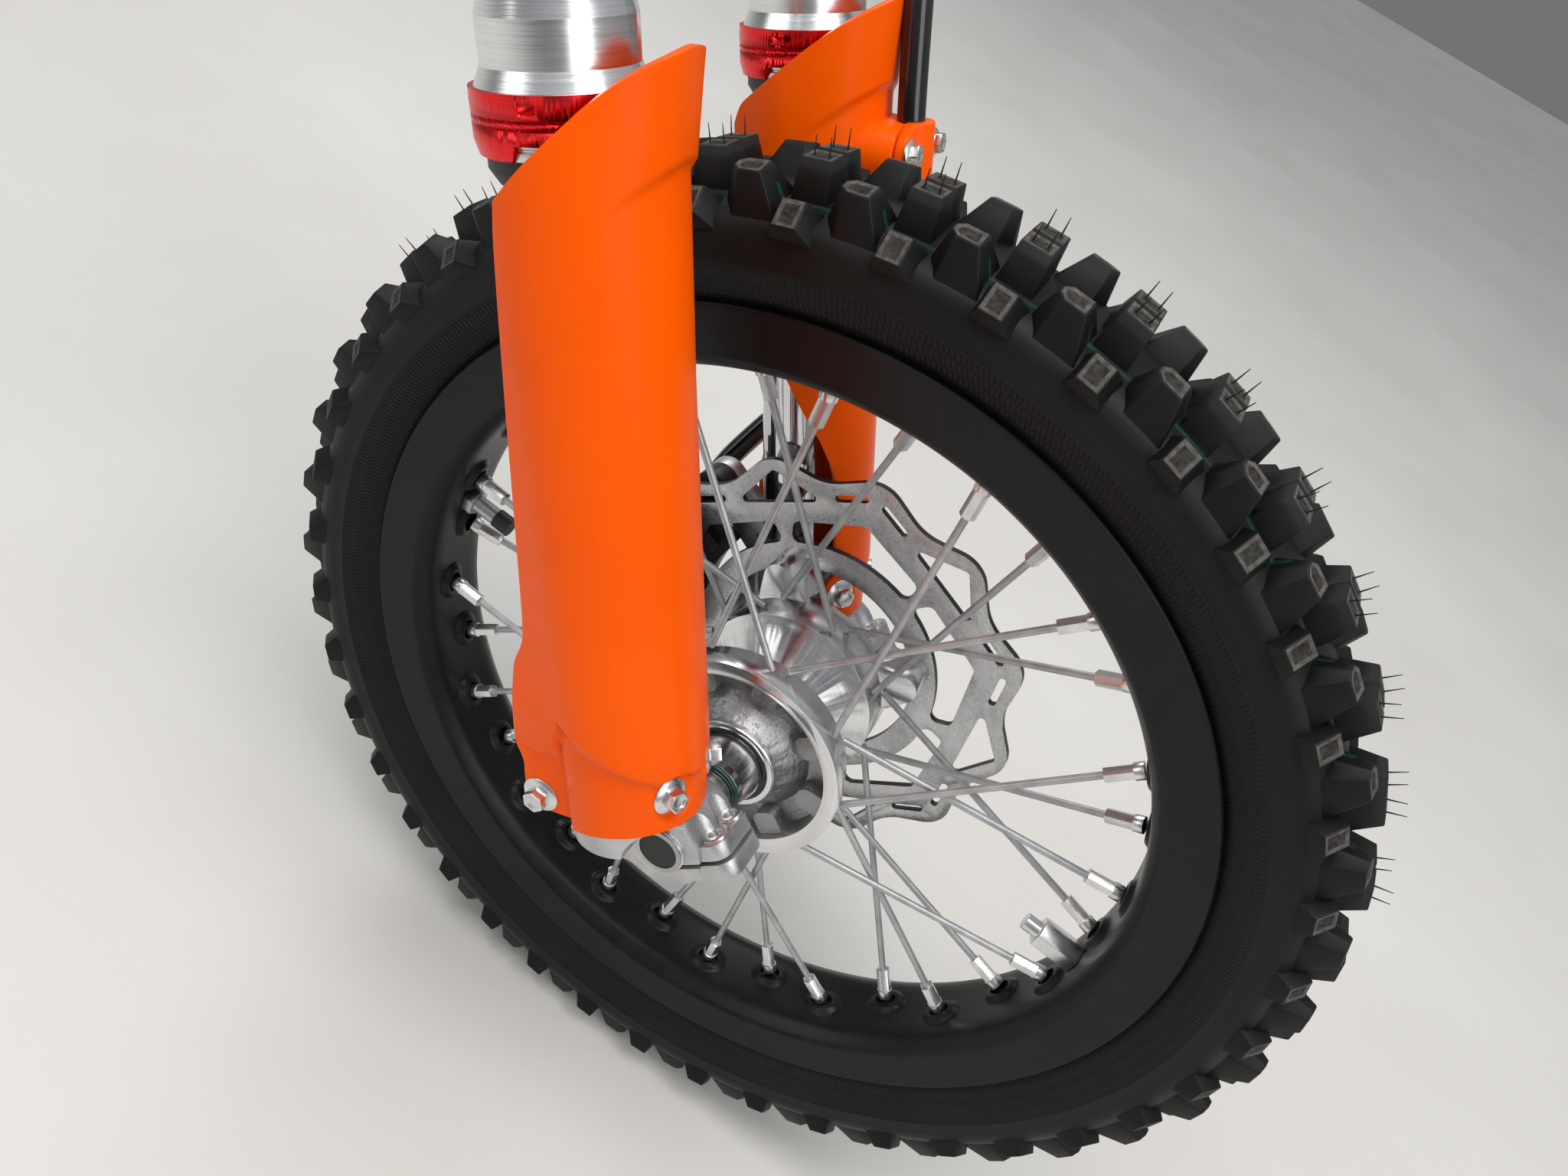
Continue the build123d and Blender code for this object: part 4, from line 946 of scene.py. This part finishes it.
@dataclass
class Guard:
    """The moulded guard of one leg, drawn about its tube in millimetres."""

    side: Side
    material: Material
    wall: float = 2.4
    radius: float = 29.3
    centre: tuple = (4.0, -0.5)
    skirt_radius: float = 27.5
    skirt_centre: tuple = (3.5, -1.5)
    ridge: float = 112.5
    edge: float = -41.6
    shoulder: float = 60.0
    shoulder_fall: float = 0.62
    shoulder_step: float = 6.0
    pad: float = 21.0
    pad_from: float = 2.4
    wheel_reach: float = 13.8
    tip: tuple = (36.4, 276.0)
    fall: float = 0.836
    wheel_tip: tuple = (30.8, 273.2)
    wheel_fall: float = 0.70
    waist: float = 84.0
    # how far the front stands out over the round section, by the distance under the top edge
    flare: tuple = ((0, 5.9), (4, 5.4), (27.6, 2.7), (30.4, 0.7), (45, 0.5), (90, 0.0))
    # reach of the rear flat behind the ridge, by station
    reach: tuple = (
        (11, 24.5), (30, 24.5), (36, 23.6), (42, 26.6), (46, 27.6), (66, 25.6), (78.6, 23.3), (82, 21.5),
        (88, 17.2), (92, 16.0), (133, 12.2), (171, 8.8), (210, 5.0), (228, 2.9), (236, 1.4), (239, 0.4),
    )
    # stations of the lower edge and of the mouth over the open side, by x
    bottom: tuple = (
        (-31, 21), (-28, 16.5), (-21.3, 14.4), (-9.7, 14.4), (-9.5, 11.3), (0.8, 14.2), (10.3, 16.1),
        (22.9, 17.1), (29.3, 16.9), (33, 15.4),
    )
    mouth: tuple = ((-20, 187.4), (19.9, 109), (24.4, 96), (25.9, 84))
    bolt_floor: float = 9.4
    bolt_wall: float = 1.8
    # radius of the tab round the inner bolt, and the angle from which the front widens into it
    tab: float = 10.8
    tab_from: float = -20.0
    # how far the flats go back and inwards for each millimetre of reach, and where they start
    back: float = 0.924
    inwards: float = 0.383
    rear_start: tuple = (-7.2, 26.6)
    skirt_start: float = -7.02
    wheel_start: tuple = (-7.21, -27.57)
    # the rise from the pad to the rear flat: its station far back, what the ridge adds and over which reach
    rise_foot: tuple = (42, 16.5, 8)
    rise_head: tuple = (45, 19.5, 14)
    # where the top edge goes over from the wheel's side, from this y over this width, and its rear corner
    side_change: tuple = (-8.0, 16.0)
    corner: tuple = (-20.0, 5.0)
    edge_round: float = 0.7
    # columns of faces round the section, and rows of faces in the two parts of each band
    front_from: float = 50.0
    side_columns: int = 20
    front_columns: int = 60
    back_columns: int = 24
    flat_columns: int = 8
    low_rows: tuple = (44, 24)
    high_rows: tuple = (45, 30)
    low_fine: float = 34.0
    high_fine: float = -54.0

    def smoothed(self, table: Sequence, key: float, spread: float = 3.0) -> float:
        """A table's value averaged over a few millimetres."""
        return sum(looked_up(table, key + step * spread / 2) for step in (-2, -1, 0, 1, 2)) / 5

    def round_point(self, angle: float, station: float) -> tuple:
        """A point of the round front, which steps in to the skirt under the shoulder."""
        turned, seat = GUARD_BOLTS[1]
        across = seat * math.radians(abs(self.edge - turned))
        tab = math.sqrt(max(0.0, self.tab ** 2 - (station - BOLT_STATION) ** 2))
        if angle < self.tab_from and station < self.waist:
            widened = math.degrees(max(0.0, tab - across) / self.radius)
            angle -= widened * (angle - self.tab_from) / (self.edge - self.tab_from)
        around = Vector((math.cos(math.radians(angle)), math.sin(math.radians(angle))))
        upper = Vector(self.centre) + self.radius * around
        lower = Vector(self.skirt_centre) + self.skirt_radius * around
        start = self.shoulder - self.shoulder_fall * upper.x - self.shoulder_step
        return tuple(lower.lerp(upper, eased((station - start) / self.shoulder_step)))

    def rear_point(self, share: float, station: float) -> tuple:
        """A point of the rear flat, which turns into the bolted pad low down."""
        along = share * self.smoothed(self.reach, station)
        twist = 0.62 + 0.38 * min(1.0, max(0.0, (station - 60) / 40))
        upper = Vector(self.rear_start) - along * Vector((self.back, self.inwards * twist))
        lower = Vector((self.skirt_start - self.back * along, self.pad))
        if along < self.pad_from:
            half = math.sqrt(self.skirt_radius ** 2 - (lower.x - self.skirt_centre[0]) ** 2)
            lower.y = self.skirt_centre[1] + half
        foot, head = [far + ridge * max(0.0, 1 - along / over) ** 2
                      for far, ridge, over in (self.rise_foot, self.rise_head)]
        return tuple(lower.lerp(upper, eased((station - foot) / (head - foot))))

    def plain(self, zone: Zone, value: float, station: float) -> tuple:
        """A point of the skin without its recesses."""
        if zone is Zone.ROUND:
            return self.round_point(value, station)
        if zone is Zone.REAR:
            return self.rear_point(value, station)
        along = value * self.wheel_reach
        return self.wheel_start[0] - self.back * along, self.wheel_start[1] + self.inwards * along

    def point(self, zone: Zone, value: float, station: float) -> tuple:
        """A point of the outer skin with the bolt recesses and the crease under the top edge."""
        x, y = self.plain(zone, value, station)
        if zone is not Zone.ROUND:
            return x, y, station
        for turned, seat in GUARD_BOLTS:
            cos_a, sin_a = math.cos(math.radians(turned)), math.sin(math.radians(turned))
            out, across = x * cos_a + y * sin_a, -x * sin_a + y * cos_a
            distance = math.hypot(across, station - BOLT_STATION)
            sunk = 1 - eased((distance - self.bolt_floor) / self.bolt_wall)
            if sunk > 0 and out > 0:
                x, y = x + (seat - out) * sunk * cos_a, y + (seat - out) * sunk * sin_a
        out = self.flared(value, self.top(x, y) - station)
        return x + out * math.cos(math.radians(value)), y + out * math.sin(math.radians(value)), station

    def flared(self, angle: float, below: float) -> float:
        """How far the front stands out at an angle and a distance under the top edge."""
        return looked_up(self.flare, below) * eased((70 - abs(angle + 15)) / 55)

    def top(self, x: float, y: float) -> float:
        """Station of the slanted top edge over a point of the section."""
        forward = x + 0.3 * self.flared(math.degrees(math.atan2(y, x)), 0)
        outer = self.tip[1] - (self.tip[0] - forward) * self.fall
        inner = self.wheel_tip[1] - (self.wheel_tip[0] - forward) * self.wheel_fall
        from_y, over = self.side_change
        share = eased((y - from_y) / over)
        rear, size = self.corner
        corner = size * max(0.0, 1 - (x - rear) / size) ** 2 if y < 0 else 0.0
        return inner + share * (outer - inner) - corner

    def mouth_edge(self, x: float) -> float:
        """Station of the mouth's slanted edge, rounded into the upright rear edge."""
        return looked_up(self.mouth, x) + 4 * max(0.0, 1 - (x + 20) / 4) ** 2

    def settled(self, zone: Zone, value: float, start: float, height: Callable) -> float:
        """Station where a column meets an edge whose height depends on the place in the section."""
        station = start
        for _ in range(6):
            station = height(*self.plain(zone, value, station))
        return station

    def band(self, columns: Sequence, low: Callable, high: Callable, fine: float,
             rows: tuple) -> Piece:
        """A grid of the skin between two edges.

        Args:
            columns: (zone, value) of each column.
            low: Station of the lower edge for a column.
            high: Station of the upper edge for a column.
            fine: Height of the finely divided part, from the lower edge if positive, else from the upper one.
            rows: Rows of faces in the fine part and in the rest.

        Returns:
            The grid, shaped to the skin.
        """
        count = sum(rows)
        grid = primitive(bpy.ops.mesh.primitive_grid_add, "skin", x_subdivisions=len(columns) - 1,
                         y_subdivisions=count, size=2)
        ends = [(low(*column), high(*column)) for column in columns]
        for vertex in grid.data.vertices:
            column = round((vertex.co.x + 1) / 2 * (len(columns) - 1))
            row = round((vertex.co.y + 1) / 2 * count)
            bottom, top = ends[column]
            if fine < 0:
                step = top + max(fine, -0.8 * (top - bottom))
                first = rows[1]
            else:
                step = bottom + fine
                first = rows[0]
            if row <= first:
                station = bottom + row / first * (step - bottom)
            else:
                station = step + (row - first) / (count - first) * (top - step)
            vertex.co = self.point(*columns[column], station)
        return grid

    def columns(self) -> tuple:
        """The columns of the wall and of the wheel's side over the open mouth."""
        shares = (1, 0.92, 0.84, 0.76, 0.68, 0.6, 0.5, 0.4, 0.3, 0.2, 0.14, 0.105, 0.085, 0.04)
        wall = [(Zone.REAR, share) for share in shares]
        side_step = (self.ridge - self.front_from) / self.side_columns
        wall += [(Zone.ROUND, self.ridge - i * side_step) for i in range(self.side_columns)]
        front_step = (self.front_from - self.edge) / self.front_columns
        wall += [(Zone.ROUND, self.front_from - i * front_step) for i in range(self.front_columns + 1)]
        back_step = (self.edge + self.ridge) / self.back_columns
        back = [(Zone.ROUND, self.edge - i * back_step) for i in range(self.back_columns + 1)]
        back += [(Zone.WHEEL, (i + 1) / self.flat_columns) for i in range(self.flat_columns)]
        return wall, back

    def build(self, extras: Sequence = ()) -> None:
        """Builds the guard and puts it on its leg.

        Args:
            extras: Other moulded parts of the guard, drawn about the tube.
        """
        wall, back = self.columns()
        name = "guard_" + self.side.word + "_finished"

        def station_of(start: float, height: Callable) -> Callable:
            """The station of an edge by column, from a first guess and its height over a place."""
            return lambda zone, value: self.settled(zone, value, start, height)

        lower = station_of(15.0, lambda x, y: looked_up(self.bottom, x))
        waist = station_of(self.waist, lambda x, y: self.waist)
        mouth = station_of(150.0, lambda x, y: self.mouth_edge(x))
        upper = station_of(235.0, self.top)
        pieces = [
            self.band(wall, lower, waist, self.low_fine, self.low_rows),
            self.band(wall, waist, upper, self.high_fine, self.high_rows),
            self.band(back, mouth, upper, self.high_fine, self.high_rows),
        ]
        guard = join(pieces, name)
        outward_open(guard)
        shell = guard.modifiers.new("Wall", "SOLIDIFY")
        shell.thickness = self.wall
        shell.offset = -1
        apply_modifiers(guard)
        soften(guard, self.edge_round, 3, 62)
        guard = join([guard, *extras], name)
        put(guard, leg_place(self.side))
        finish_piece(guard, self.material, Body.FORK, "guard_plastic", "guard_" + self.side.word)


def outward_open(piece: Piece) -> None:
    """Merges an open skin's doubles and turns its faces away from the tube's axis."""
    with Editing(piece) as edit:
        edit.select_all()
        bpy.ops.mesh.remove_doubles(threshold=0.02)
        bpy.ops.mesh.normals_make_consistent(inside=False)
    faces = piece.data.polygons
    outwards = sum(face.center.x * face.normal.x + face.center.y * face.normal.y > 0 for face in faces)
    if outwards < len(faces) / 2:
        piece.data.flip_normals()


# Brake hose and its clamp


@dataclass
class BrakeHose:
    """The brake hose from the caliper up the left leg, drawn about the leg's tube in metres."""

    material: Material
    radius: float = 0.00535
    route: tuple = (
        (-0.057, 0.005, 0.052), (-0.050, 0.013, 0.067), (-0.038, 0.027, 0.081), (-0.022, 0.0385, 0.097),
        (-0.003, 0.0435, 0.115), (0.0165, 0.041, 0.134), (0.033, 0.0295, 0.153), (0.041, 0.015, 0.171),
        (0.0428, 0.0055, 0.189), (0.0432, 0.0005, 0.207), (0.043, 0, 0.240), (0.0434, 0.0006, 0.283),
        (0.0446, 0.0008, 0.340), (0.045, -0.0006, 0.412), (0.043, -0.002, 0.487), (0.042, -0.0012, 0.548),
        (0.0426, 0.0005, 0.600), (0.043, 0, 0.633), (0.040, -0.003, 0.664), (0.031, -0.011, 0.690),
        (0.017, -0.022, 0.708),
    )

    def build(self) -> None:
        """Lays the hose on its route."""
        data = bpy.data.curves.new("brake_hose_finished", "CURVE")
        data.dimensions = "3D"
        data.bevel_depth = self.radius
        data.bevel_resolution = 10
        data.resolution_u = 12
        data.use_fill_caps = True
        spline = data.splines.new("NURBS")
        spline.points.add(len(self.route) - 1)
        place = leg_place(Side.LEFT)
        for point, spot in zip(spline.points, self.route):
            point.co = (*(place @ (Vector(spot) * 1000)), 1)
        spline.order_u = 3
        spline.use_endpoint_u = True
        hose = linked("brake_hose_finished", data)
        finish_piece(hose, self.material, Body.FORK, "hose_rubber", "brake_hose")


@dataclass
class HoseClamp:
    """The clamp that holds the hose to the left guard, drawn about the tube in millimetres."""

    material: Material
    station: float = 224.0
    height: float = 21.0
    width: float = 35.0
    middle: float = -1.0
    arm_start: float = 19.0
    split: float = 43.0
    half_gap: float = 0.2
    lobe: float = 4.8
    barrel: float = 9.2
    sides: int = 56

    def block(self, name: str, start: float, end: float) -> Piece:
        """A block with round ends across the hose.

        Args:
            name: Name of the block.
            start: Its rear face, forward of the tube's axis.
            end: Its front face.

        Returns:
            The block.
        """
        block = primitive(bpy.ops.mesh.primitive_cylinder_add, name, vertices=self.sides,
                          radius=self.height / 2, depth=end - start,
                          rotation=(math.radians(90 + 180 / self.sides), 0, math.radians(90)))
        with Editing(block) as edit:
            for side in Side:
                edit.edges(lambda a, b: a.y * side.value > 0.01 and b.y * side.value > 0.01)
                bpy.ops.transform.translate(value=(0, side.value * (self.width - self.height) / 2, 0))
            edit.select_all()
            bpy.ops.transform.translate(value=((start + end) / 2, self.middle, self.station))
        return block

    def arm(self) -> Piece:
        """The guard's arm, which widens towards the guard."""
        arm = self.block("arm", self.arm_start, self.split - self.half_gap)
        foot = (self.arm_start, self.middle, self.station)
        with Editing(arm) as edit:
            edit.faces(lambda centre, normal: normal.x < -0.9)
            bpy.ops.transform.resize(value=(1, 1.04, 1.22), center_override=foot)
        soften(arm, 1.2, 3, 50)
        return arm

    def build(self) -> None:
        """Builds the clamp's front half."""
        plate = self.block("plate", self.split + self.half_gap, self.split + self.lobe)
        soften(plate, 1.3, 3, 50)
        barrel = primitive(bpy.ops.mesh.primitive_cylinder_add, "barrel", vertices=64, radius=self.barrel,
                           depth=self.height, location=(0, 0, 0))
        with Editing(barrel) as edit:
            edit.select_all()
            bpy.ops.transform.translate(value=(self.split, 0, self.station))
            edit.select_all()
            bpy.ops.mesh.bisect(plane_co=(self.split + self.half_gap, 0, 0), plane_no=(-1, 0, 0),
                                use_fill=True, clear_outer=True)
        soften(barrel, 1.6, 4, 50)
        clamp = put(join([plate, barrel], "hose_clamp_finished"), leg_place(Side.LEFT))
        finish_piece(clamp, self.material, Body.FORK, "guard_plastic", "hose_clamp")


# Fasteners


@dataclass
class Fasteners:
    """Bolts and screws, each modelled once and copied to its places, in millimetres."""

    zinc: Material
    rear_seat: tuple = (-23.0, 21.0, 21.6)
    # the axle clamp's frame: forward of the tube's axis and turned back, then its two screws' seats
    pinch_frame: tuple = (19.0, -25.0)
    pinch_seats: tuple = ((20.6, -13, -6.2), (20.6, -1, -6.2))
    clamp_seats: tuple = ((47.8, -13.5, 225.0), (47.8, 12.0, 225.0))
    disc_seat: tuple = (51, 55.4, 0)
    disc_phase: float = 10.5
    disc_screws: int = 4

    def flange_bolt(self, name: str, flats: float, washer: float, height: float) -> Piece:
        """A hexagon flange bolt's head on z = 0, with a dished top."""
        head = primitive(bpy.ops.mesh.primitive_cylinder_add, name, vertices=6, radius=flats / math.sqrt(3),
                         depth=height, location=(0, 0, height / 2 + 1))
        with Editing(head) as edit:
            edit.faces(lambda centre, normal: normal.z > 0.9)
            bpy.ops.mesh.inset(thickness=flats * 0.16, depth=0)
            bpy.ops.mesh.inset(thickness=flats * 0.05, depth=-height * 0.16)
        soften(head, 0.35, 2, 30)
        profile = [(0, 0), (washer, 0), (washer, 0.7), (washer - 0.4, 1.1), (flats * 0.55, 2.0), (0, 2.0)]
        flange = spun(name + "_flange", profile, 40, False, ALONG_Z)
        smooth(flange, 40)
        return join([head, flange], name)

    def cap_screw(self, name: str, radius: float, height: float, key: float) -> Piece:
        """A round head on z = 0, with a round socket of radius key."""
        head = primitive(bpy.ops.mesh.primitive_cylinder_add, name, vertices=36, radius=radius, depth=height,
                         location=(0, 0, height / 2))
        with Editing(head) as edit:
            edit.faces(lambda centre, normal: normal.z > 0.9)
            bpy.ops.mesh.inset(thickness=radius - key, depth=0)
            bpy.ops.mesh.extrude_region_move(TRANSFORM_OT_translate={"value": (0, 0, -height * 0.55)})
        soften(head, 0.3, 2, 30)
        return head

    def place(self, pattern: Piece, name: str, places: Iterable[Matrix], body: Body) -> None:
        """Copies a pattern to its places as one piece.

        Args:
            pattern: The fastener at the origin, head up Z.
            name: Name of the piece.
            places: Matrices to the scene.
            body: The body it rides on.
        """
        piece = join([copy_to(pattern, place) for place in places], name)
        finish_piece(piece, self.zinc, body, "zinc_steel")
        discard(pattern)

    def build(self) -> None:
        """Builds all the fasteners."""
        for side in Side:
            leg = leg_place(side)
            guard = [turn(turned, "Z") @ shift(seat, 0, BOLT_STATION) @ turn(90, "Y")
                     for turned, seat in GUARD_BOLTS]
            guard.append(shift(*self.rear_seat) @ turn(-90, "X"))
            self.place(self.flange_bolt("guard_bolt", 8.0, 7.4, 5.0), "guard_bolts_" + side.word,
                       [leg @ seat for seat in guard], Body.FORK)
            forward, back = self.pinch_frame
            frame_place = leg @ shift(forward, 0, 0) @ turn(back, "Y")
            self.place(self.cap_screw("pinch", 5.3, 5.6, 2.7), "pinch_screws_" + side.word,
                       [frame_place @ shift(*seat) for seat in self.pinch_seats], Body.FORK)
        left = leg_place(Side.LEFT)
        self.place(self.flange_bolt("clamp_bolt", 7.0, 5.6, 3.6), "hose_clamp_bolts",
                   [left @ shift(*seat) @ turn(90, "Y") for seat in self.clamp_seats], Body.FORK)
        seat = shift(*self.disc_seat) @ turn(-90, "X")
        turns = [self.disc_phase + i * 360 / self.disc_screws for i in range(self.disc_screws)]
        self.place(self.cap_screw("disc_screw", 4.8, 2.6, 2.2), "disc_screws",
                   [WHEEL_PLACE @ turn(-turned, "Y") @ seat for turned in turns], Body.WHEEL)


# Small turned parts


@dataclass
class TurnedParts:
    """Rings that show at the fork ends and under the collars, in millimetres."""

    zinc: Material
    green: Material
    # the spring ring's (radius, rise) above its station, and the axle end ring's beyond the axle's face
    spring_station: float = 249.2
    spring: tuple = ((21.0, 0), (23.6, 0), (23.8, 0.5), (23.6, 2.2), (22.9, 2.6), (22.9, 3.0), (23.6, 3.4),
                     (23.6, 6.0), (21.0, 6.0))
    axle_face: float = 88.0
    axle_end: tuple = ((8.0, -2), (10.5, -2), (10.5, 0.5), (10.1, 0.9), (9.2, 0.9), (8.8, 0.4), (8.0, -0.6))
    seal_station: float = -49.5
    seal_radii: tuple = (12.3, 1.3)

    def build(self) -> None:
        """Builds the spring rings, the axle's end rings and the spacer's seal."""
        for side in Side:
            profile = [(radius, self.spring_station + rise) for radius, rise in self.spring]
            ring = spun("spring_ring_" + side.word, profile, 96, True, ALONG_Z)
            smooth(ring, 30)
            finish_piece(put(ring, leg_place(side)), self.zinc, Body.FORK, "zinc_steel")
            profile = [(radius, side.value * (self.axle_face + rise)) for radius, rise in self.axle_end]
            ring = spun("axle_end_" + side.word, profile, 72)
            smooth(ring, 30)
            finish_piece(put(ring, WHEEL_PLACE), self.zinc, Body.FORK, "zinc_steel")
        major, minor = self.seal_radii
        seal = primitive(bpy.ops.mesh.primitive_torus_add, "spacer_seal", major_radius=major,
                         minor_radius=minor, major_segments=72, minor_segments=16,
                         location=(0, self.seal_station, 0), rotation=(math.radians(90), 0, 0))
        smooth(seal, 60)
        finish_piece(put(seal, WHEEL_PLACE), self.green, Body.FORK, "seal_rubber")


# Studio


@dataclass(frozen=True)
class Lamp:
    """A soft rectangular lamp that looks at the wheel's centre."""

    name: str
    place: tuple
    size: tuple
    power: float
    tint: tuple = (1, 1, 1)

    def build(self) -> None:
        """Hangs the lamp."""
        data = bpy.data.lights.new(self.name, "AREA")
        data.shape = "RECTANGLE"
        data.size, data.size_y = self.size
        data.energy = self.power
        data.color = self.tint
        look = AXLE_CENTRE - Vector(self.place)
        lamp = linked(self.name, data)
        lamp.matrix_world = shift(*self.place) @ look.to_track_quat("-Z", "Y").to_matrix().to_4x4()


@dataclass
class Studio:
    """The pale floor, the soft lights and the camera of the photograph, in metres."""

    camera_place: tuple = (0.28476709, -0.36174438, -0.07914905)
    camera_right: tuple = (0.80817, 0.44648, 0.38408)
    camera_up: tuple = (-0.57671, 0.46768, 0.66983)
    camera_back: tuple = (0.11944, -0.76284, 0.63546)
    lens: float = 26.81
    lens_shift: tuple = (0.0181, 0.0004)
    floor_height: float = -0.6778
    floor_tones: tuple = ((0.3, (0.62, 0.60, 0.57)), (0.7, (0.68, 0.665, 0.635)))
    # colour of the surround up to the horizon and high above it, by the height of the direction
    surround: tuple = ((0.0, (0.32, 0.31, 0.3, 1)), (0.6, (0.8, 0.82, 0.85, 1)))
    surround_strength: float = 0.55
    lamps: tuple = (
        Lamp("lamp_top", (0.3, -0.5, 1.7), (2.2, 0.7), 34, (1, 0.98, 0.95)),
        Lamp("lamp_front", (1.8, -0.9, 0.7), (1.2, 1.6), 14),
        Lamp("lamp_left", (-1.5, -1.3, 0.5), (1.4, 1.2), 9),
        Lamp("lamp_back", (-1.2, 1.5, 1.3), (1.6, 1.0), 18),
    )

    def camera(self) -> None:
        """Adds the camera and makes it the scene's."""
        data = bpy.data.cameras.new("camera")
        data.sensor_width = 36
        data.lens = self.lens
        data.shift_x, data.shift_y = self.lens_shift
        data.clip_start = 0.01
        camera = linked("camera", data)
        turned = Matrix((self.camera_right, self.camera_up, self.camera_back)).transposed().to_4x4()
        camera.matrix_world = Matrix.Translation(self.camera_place) @ turned
        bpy.context.scene.camera = camera

    def floor(self) -> None:
        """Adds the floor."""
        floor = primitive(bpy.ops.mesh.primitive_plane_add, "floor", size=14,
                          location=(0.2, 0, self.floor_height))
        shader = Shader("floor_pale", 0.75)
        shader.colour(shader.ramp(shader.noise(3.0, 6), *self.floor_tones))
        shader.bump(shader.noise(160, 4), 0.0002)
        dress(floor, shader.material)

    def world(self) -> None:
        """Sets an even grey surround, darker low down."""
        world = bpy.data.worlds.new("surround")
        world.use_nodes = True
        bpy.context.scene.world = world
        nodes, links = world.node_tree.nodes, world.node_tree.links
        coordinates = nodes.new("ShaderNodeTexCoord")
        split = nodes.new("ShaderNodeSeparateXYZ")
        ramp = nodes.new("ShaderNodeValToRGB")
        for element, (place, colour) in zip(ramp.color_ramp.elements, self.surround):
            element.position = place
            element.color = colour
        background = nodes["Background"]
        links.new(coordinates.outputs["Generated"], split.inputs[0])
        links.new(split.outputs["Z"], ramp.inputs[0])
        links.new(ramp.outputs[0], background.inputs["Color"])
        background.inputs["Strength"].default_value = self.surround_strength

    def build(self) -> None:
        """Builds the studio round the model."""
        self.floor()
        self.world()
        for lamp in self.lamps:
            lamp.build()
        bpy.context.scene.view_settings.view_transform = "Standard"


def main() -> None:
    """Builds the studio and every sub-assembly, and keeps the model's size."""
    logging.basicConfig(level=logging.INFO, format="%(message)s")
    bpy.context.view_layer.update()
    studio = Studio()
    studio.camera()
    finishes = Finishes()
    orange, zinc = finishes["guard_plastic"], finishes["zinc_plate"]
    CadNodes(finishes).build()
    Tyre((finishes["tyre_rubber"], finishes["tyre_worn"], finishes["tyre_scuffed"])).build()
    Rim(finishes["rim_black"]).build()
    clamp = HoseClamp(orange)
    Guard(Side.RIGHT, orange).build()
    Guard(Side.LEFT, orange).build([clamp.arm()])
    clamp.build()
    BrakeHose(finishes["hose_sleeve"]).build()
    Fasteners(zinc).build()
    TurnedParts(zinc, finishes["ring_green"]).build()
    studio.build()


if __name__ == "__main__":
    main()
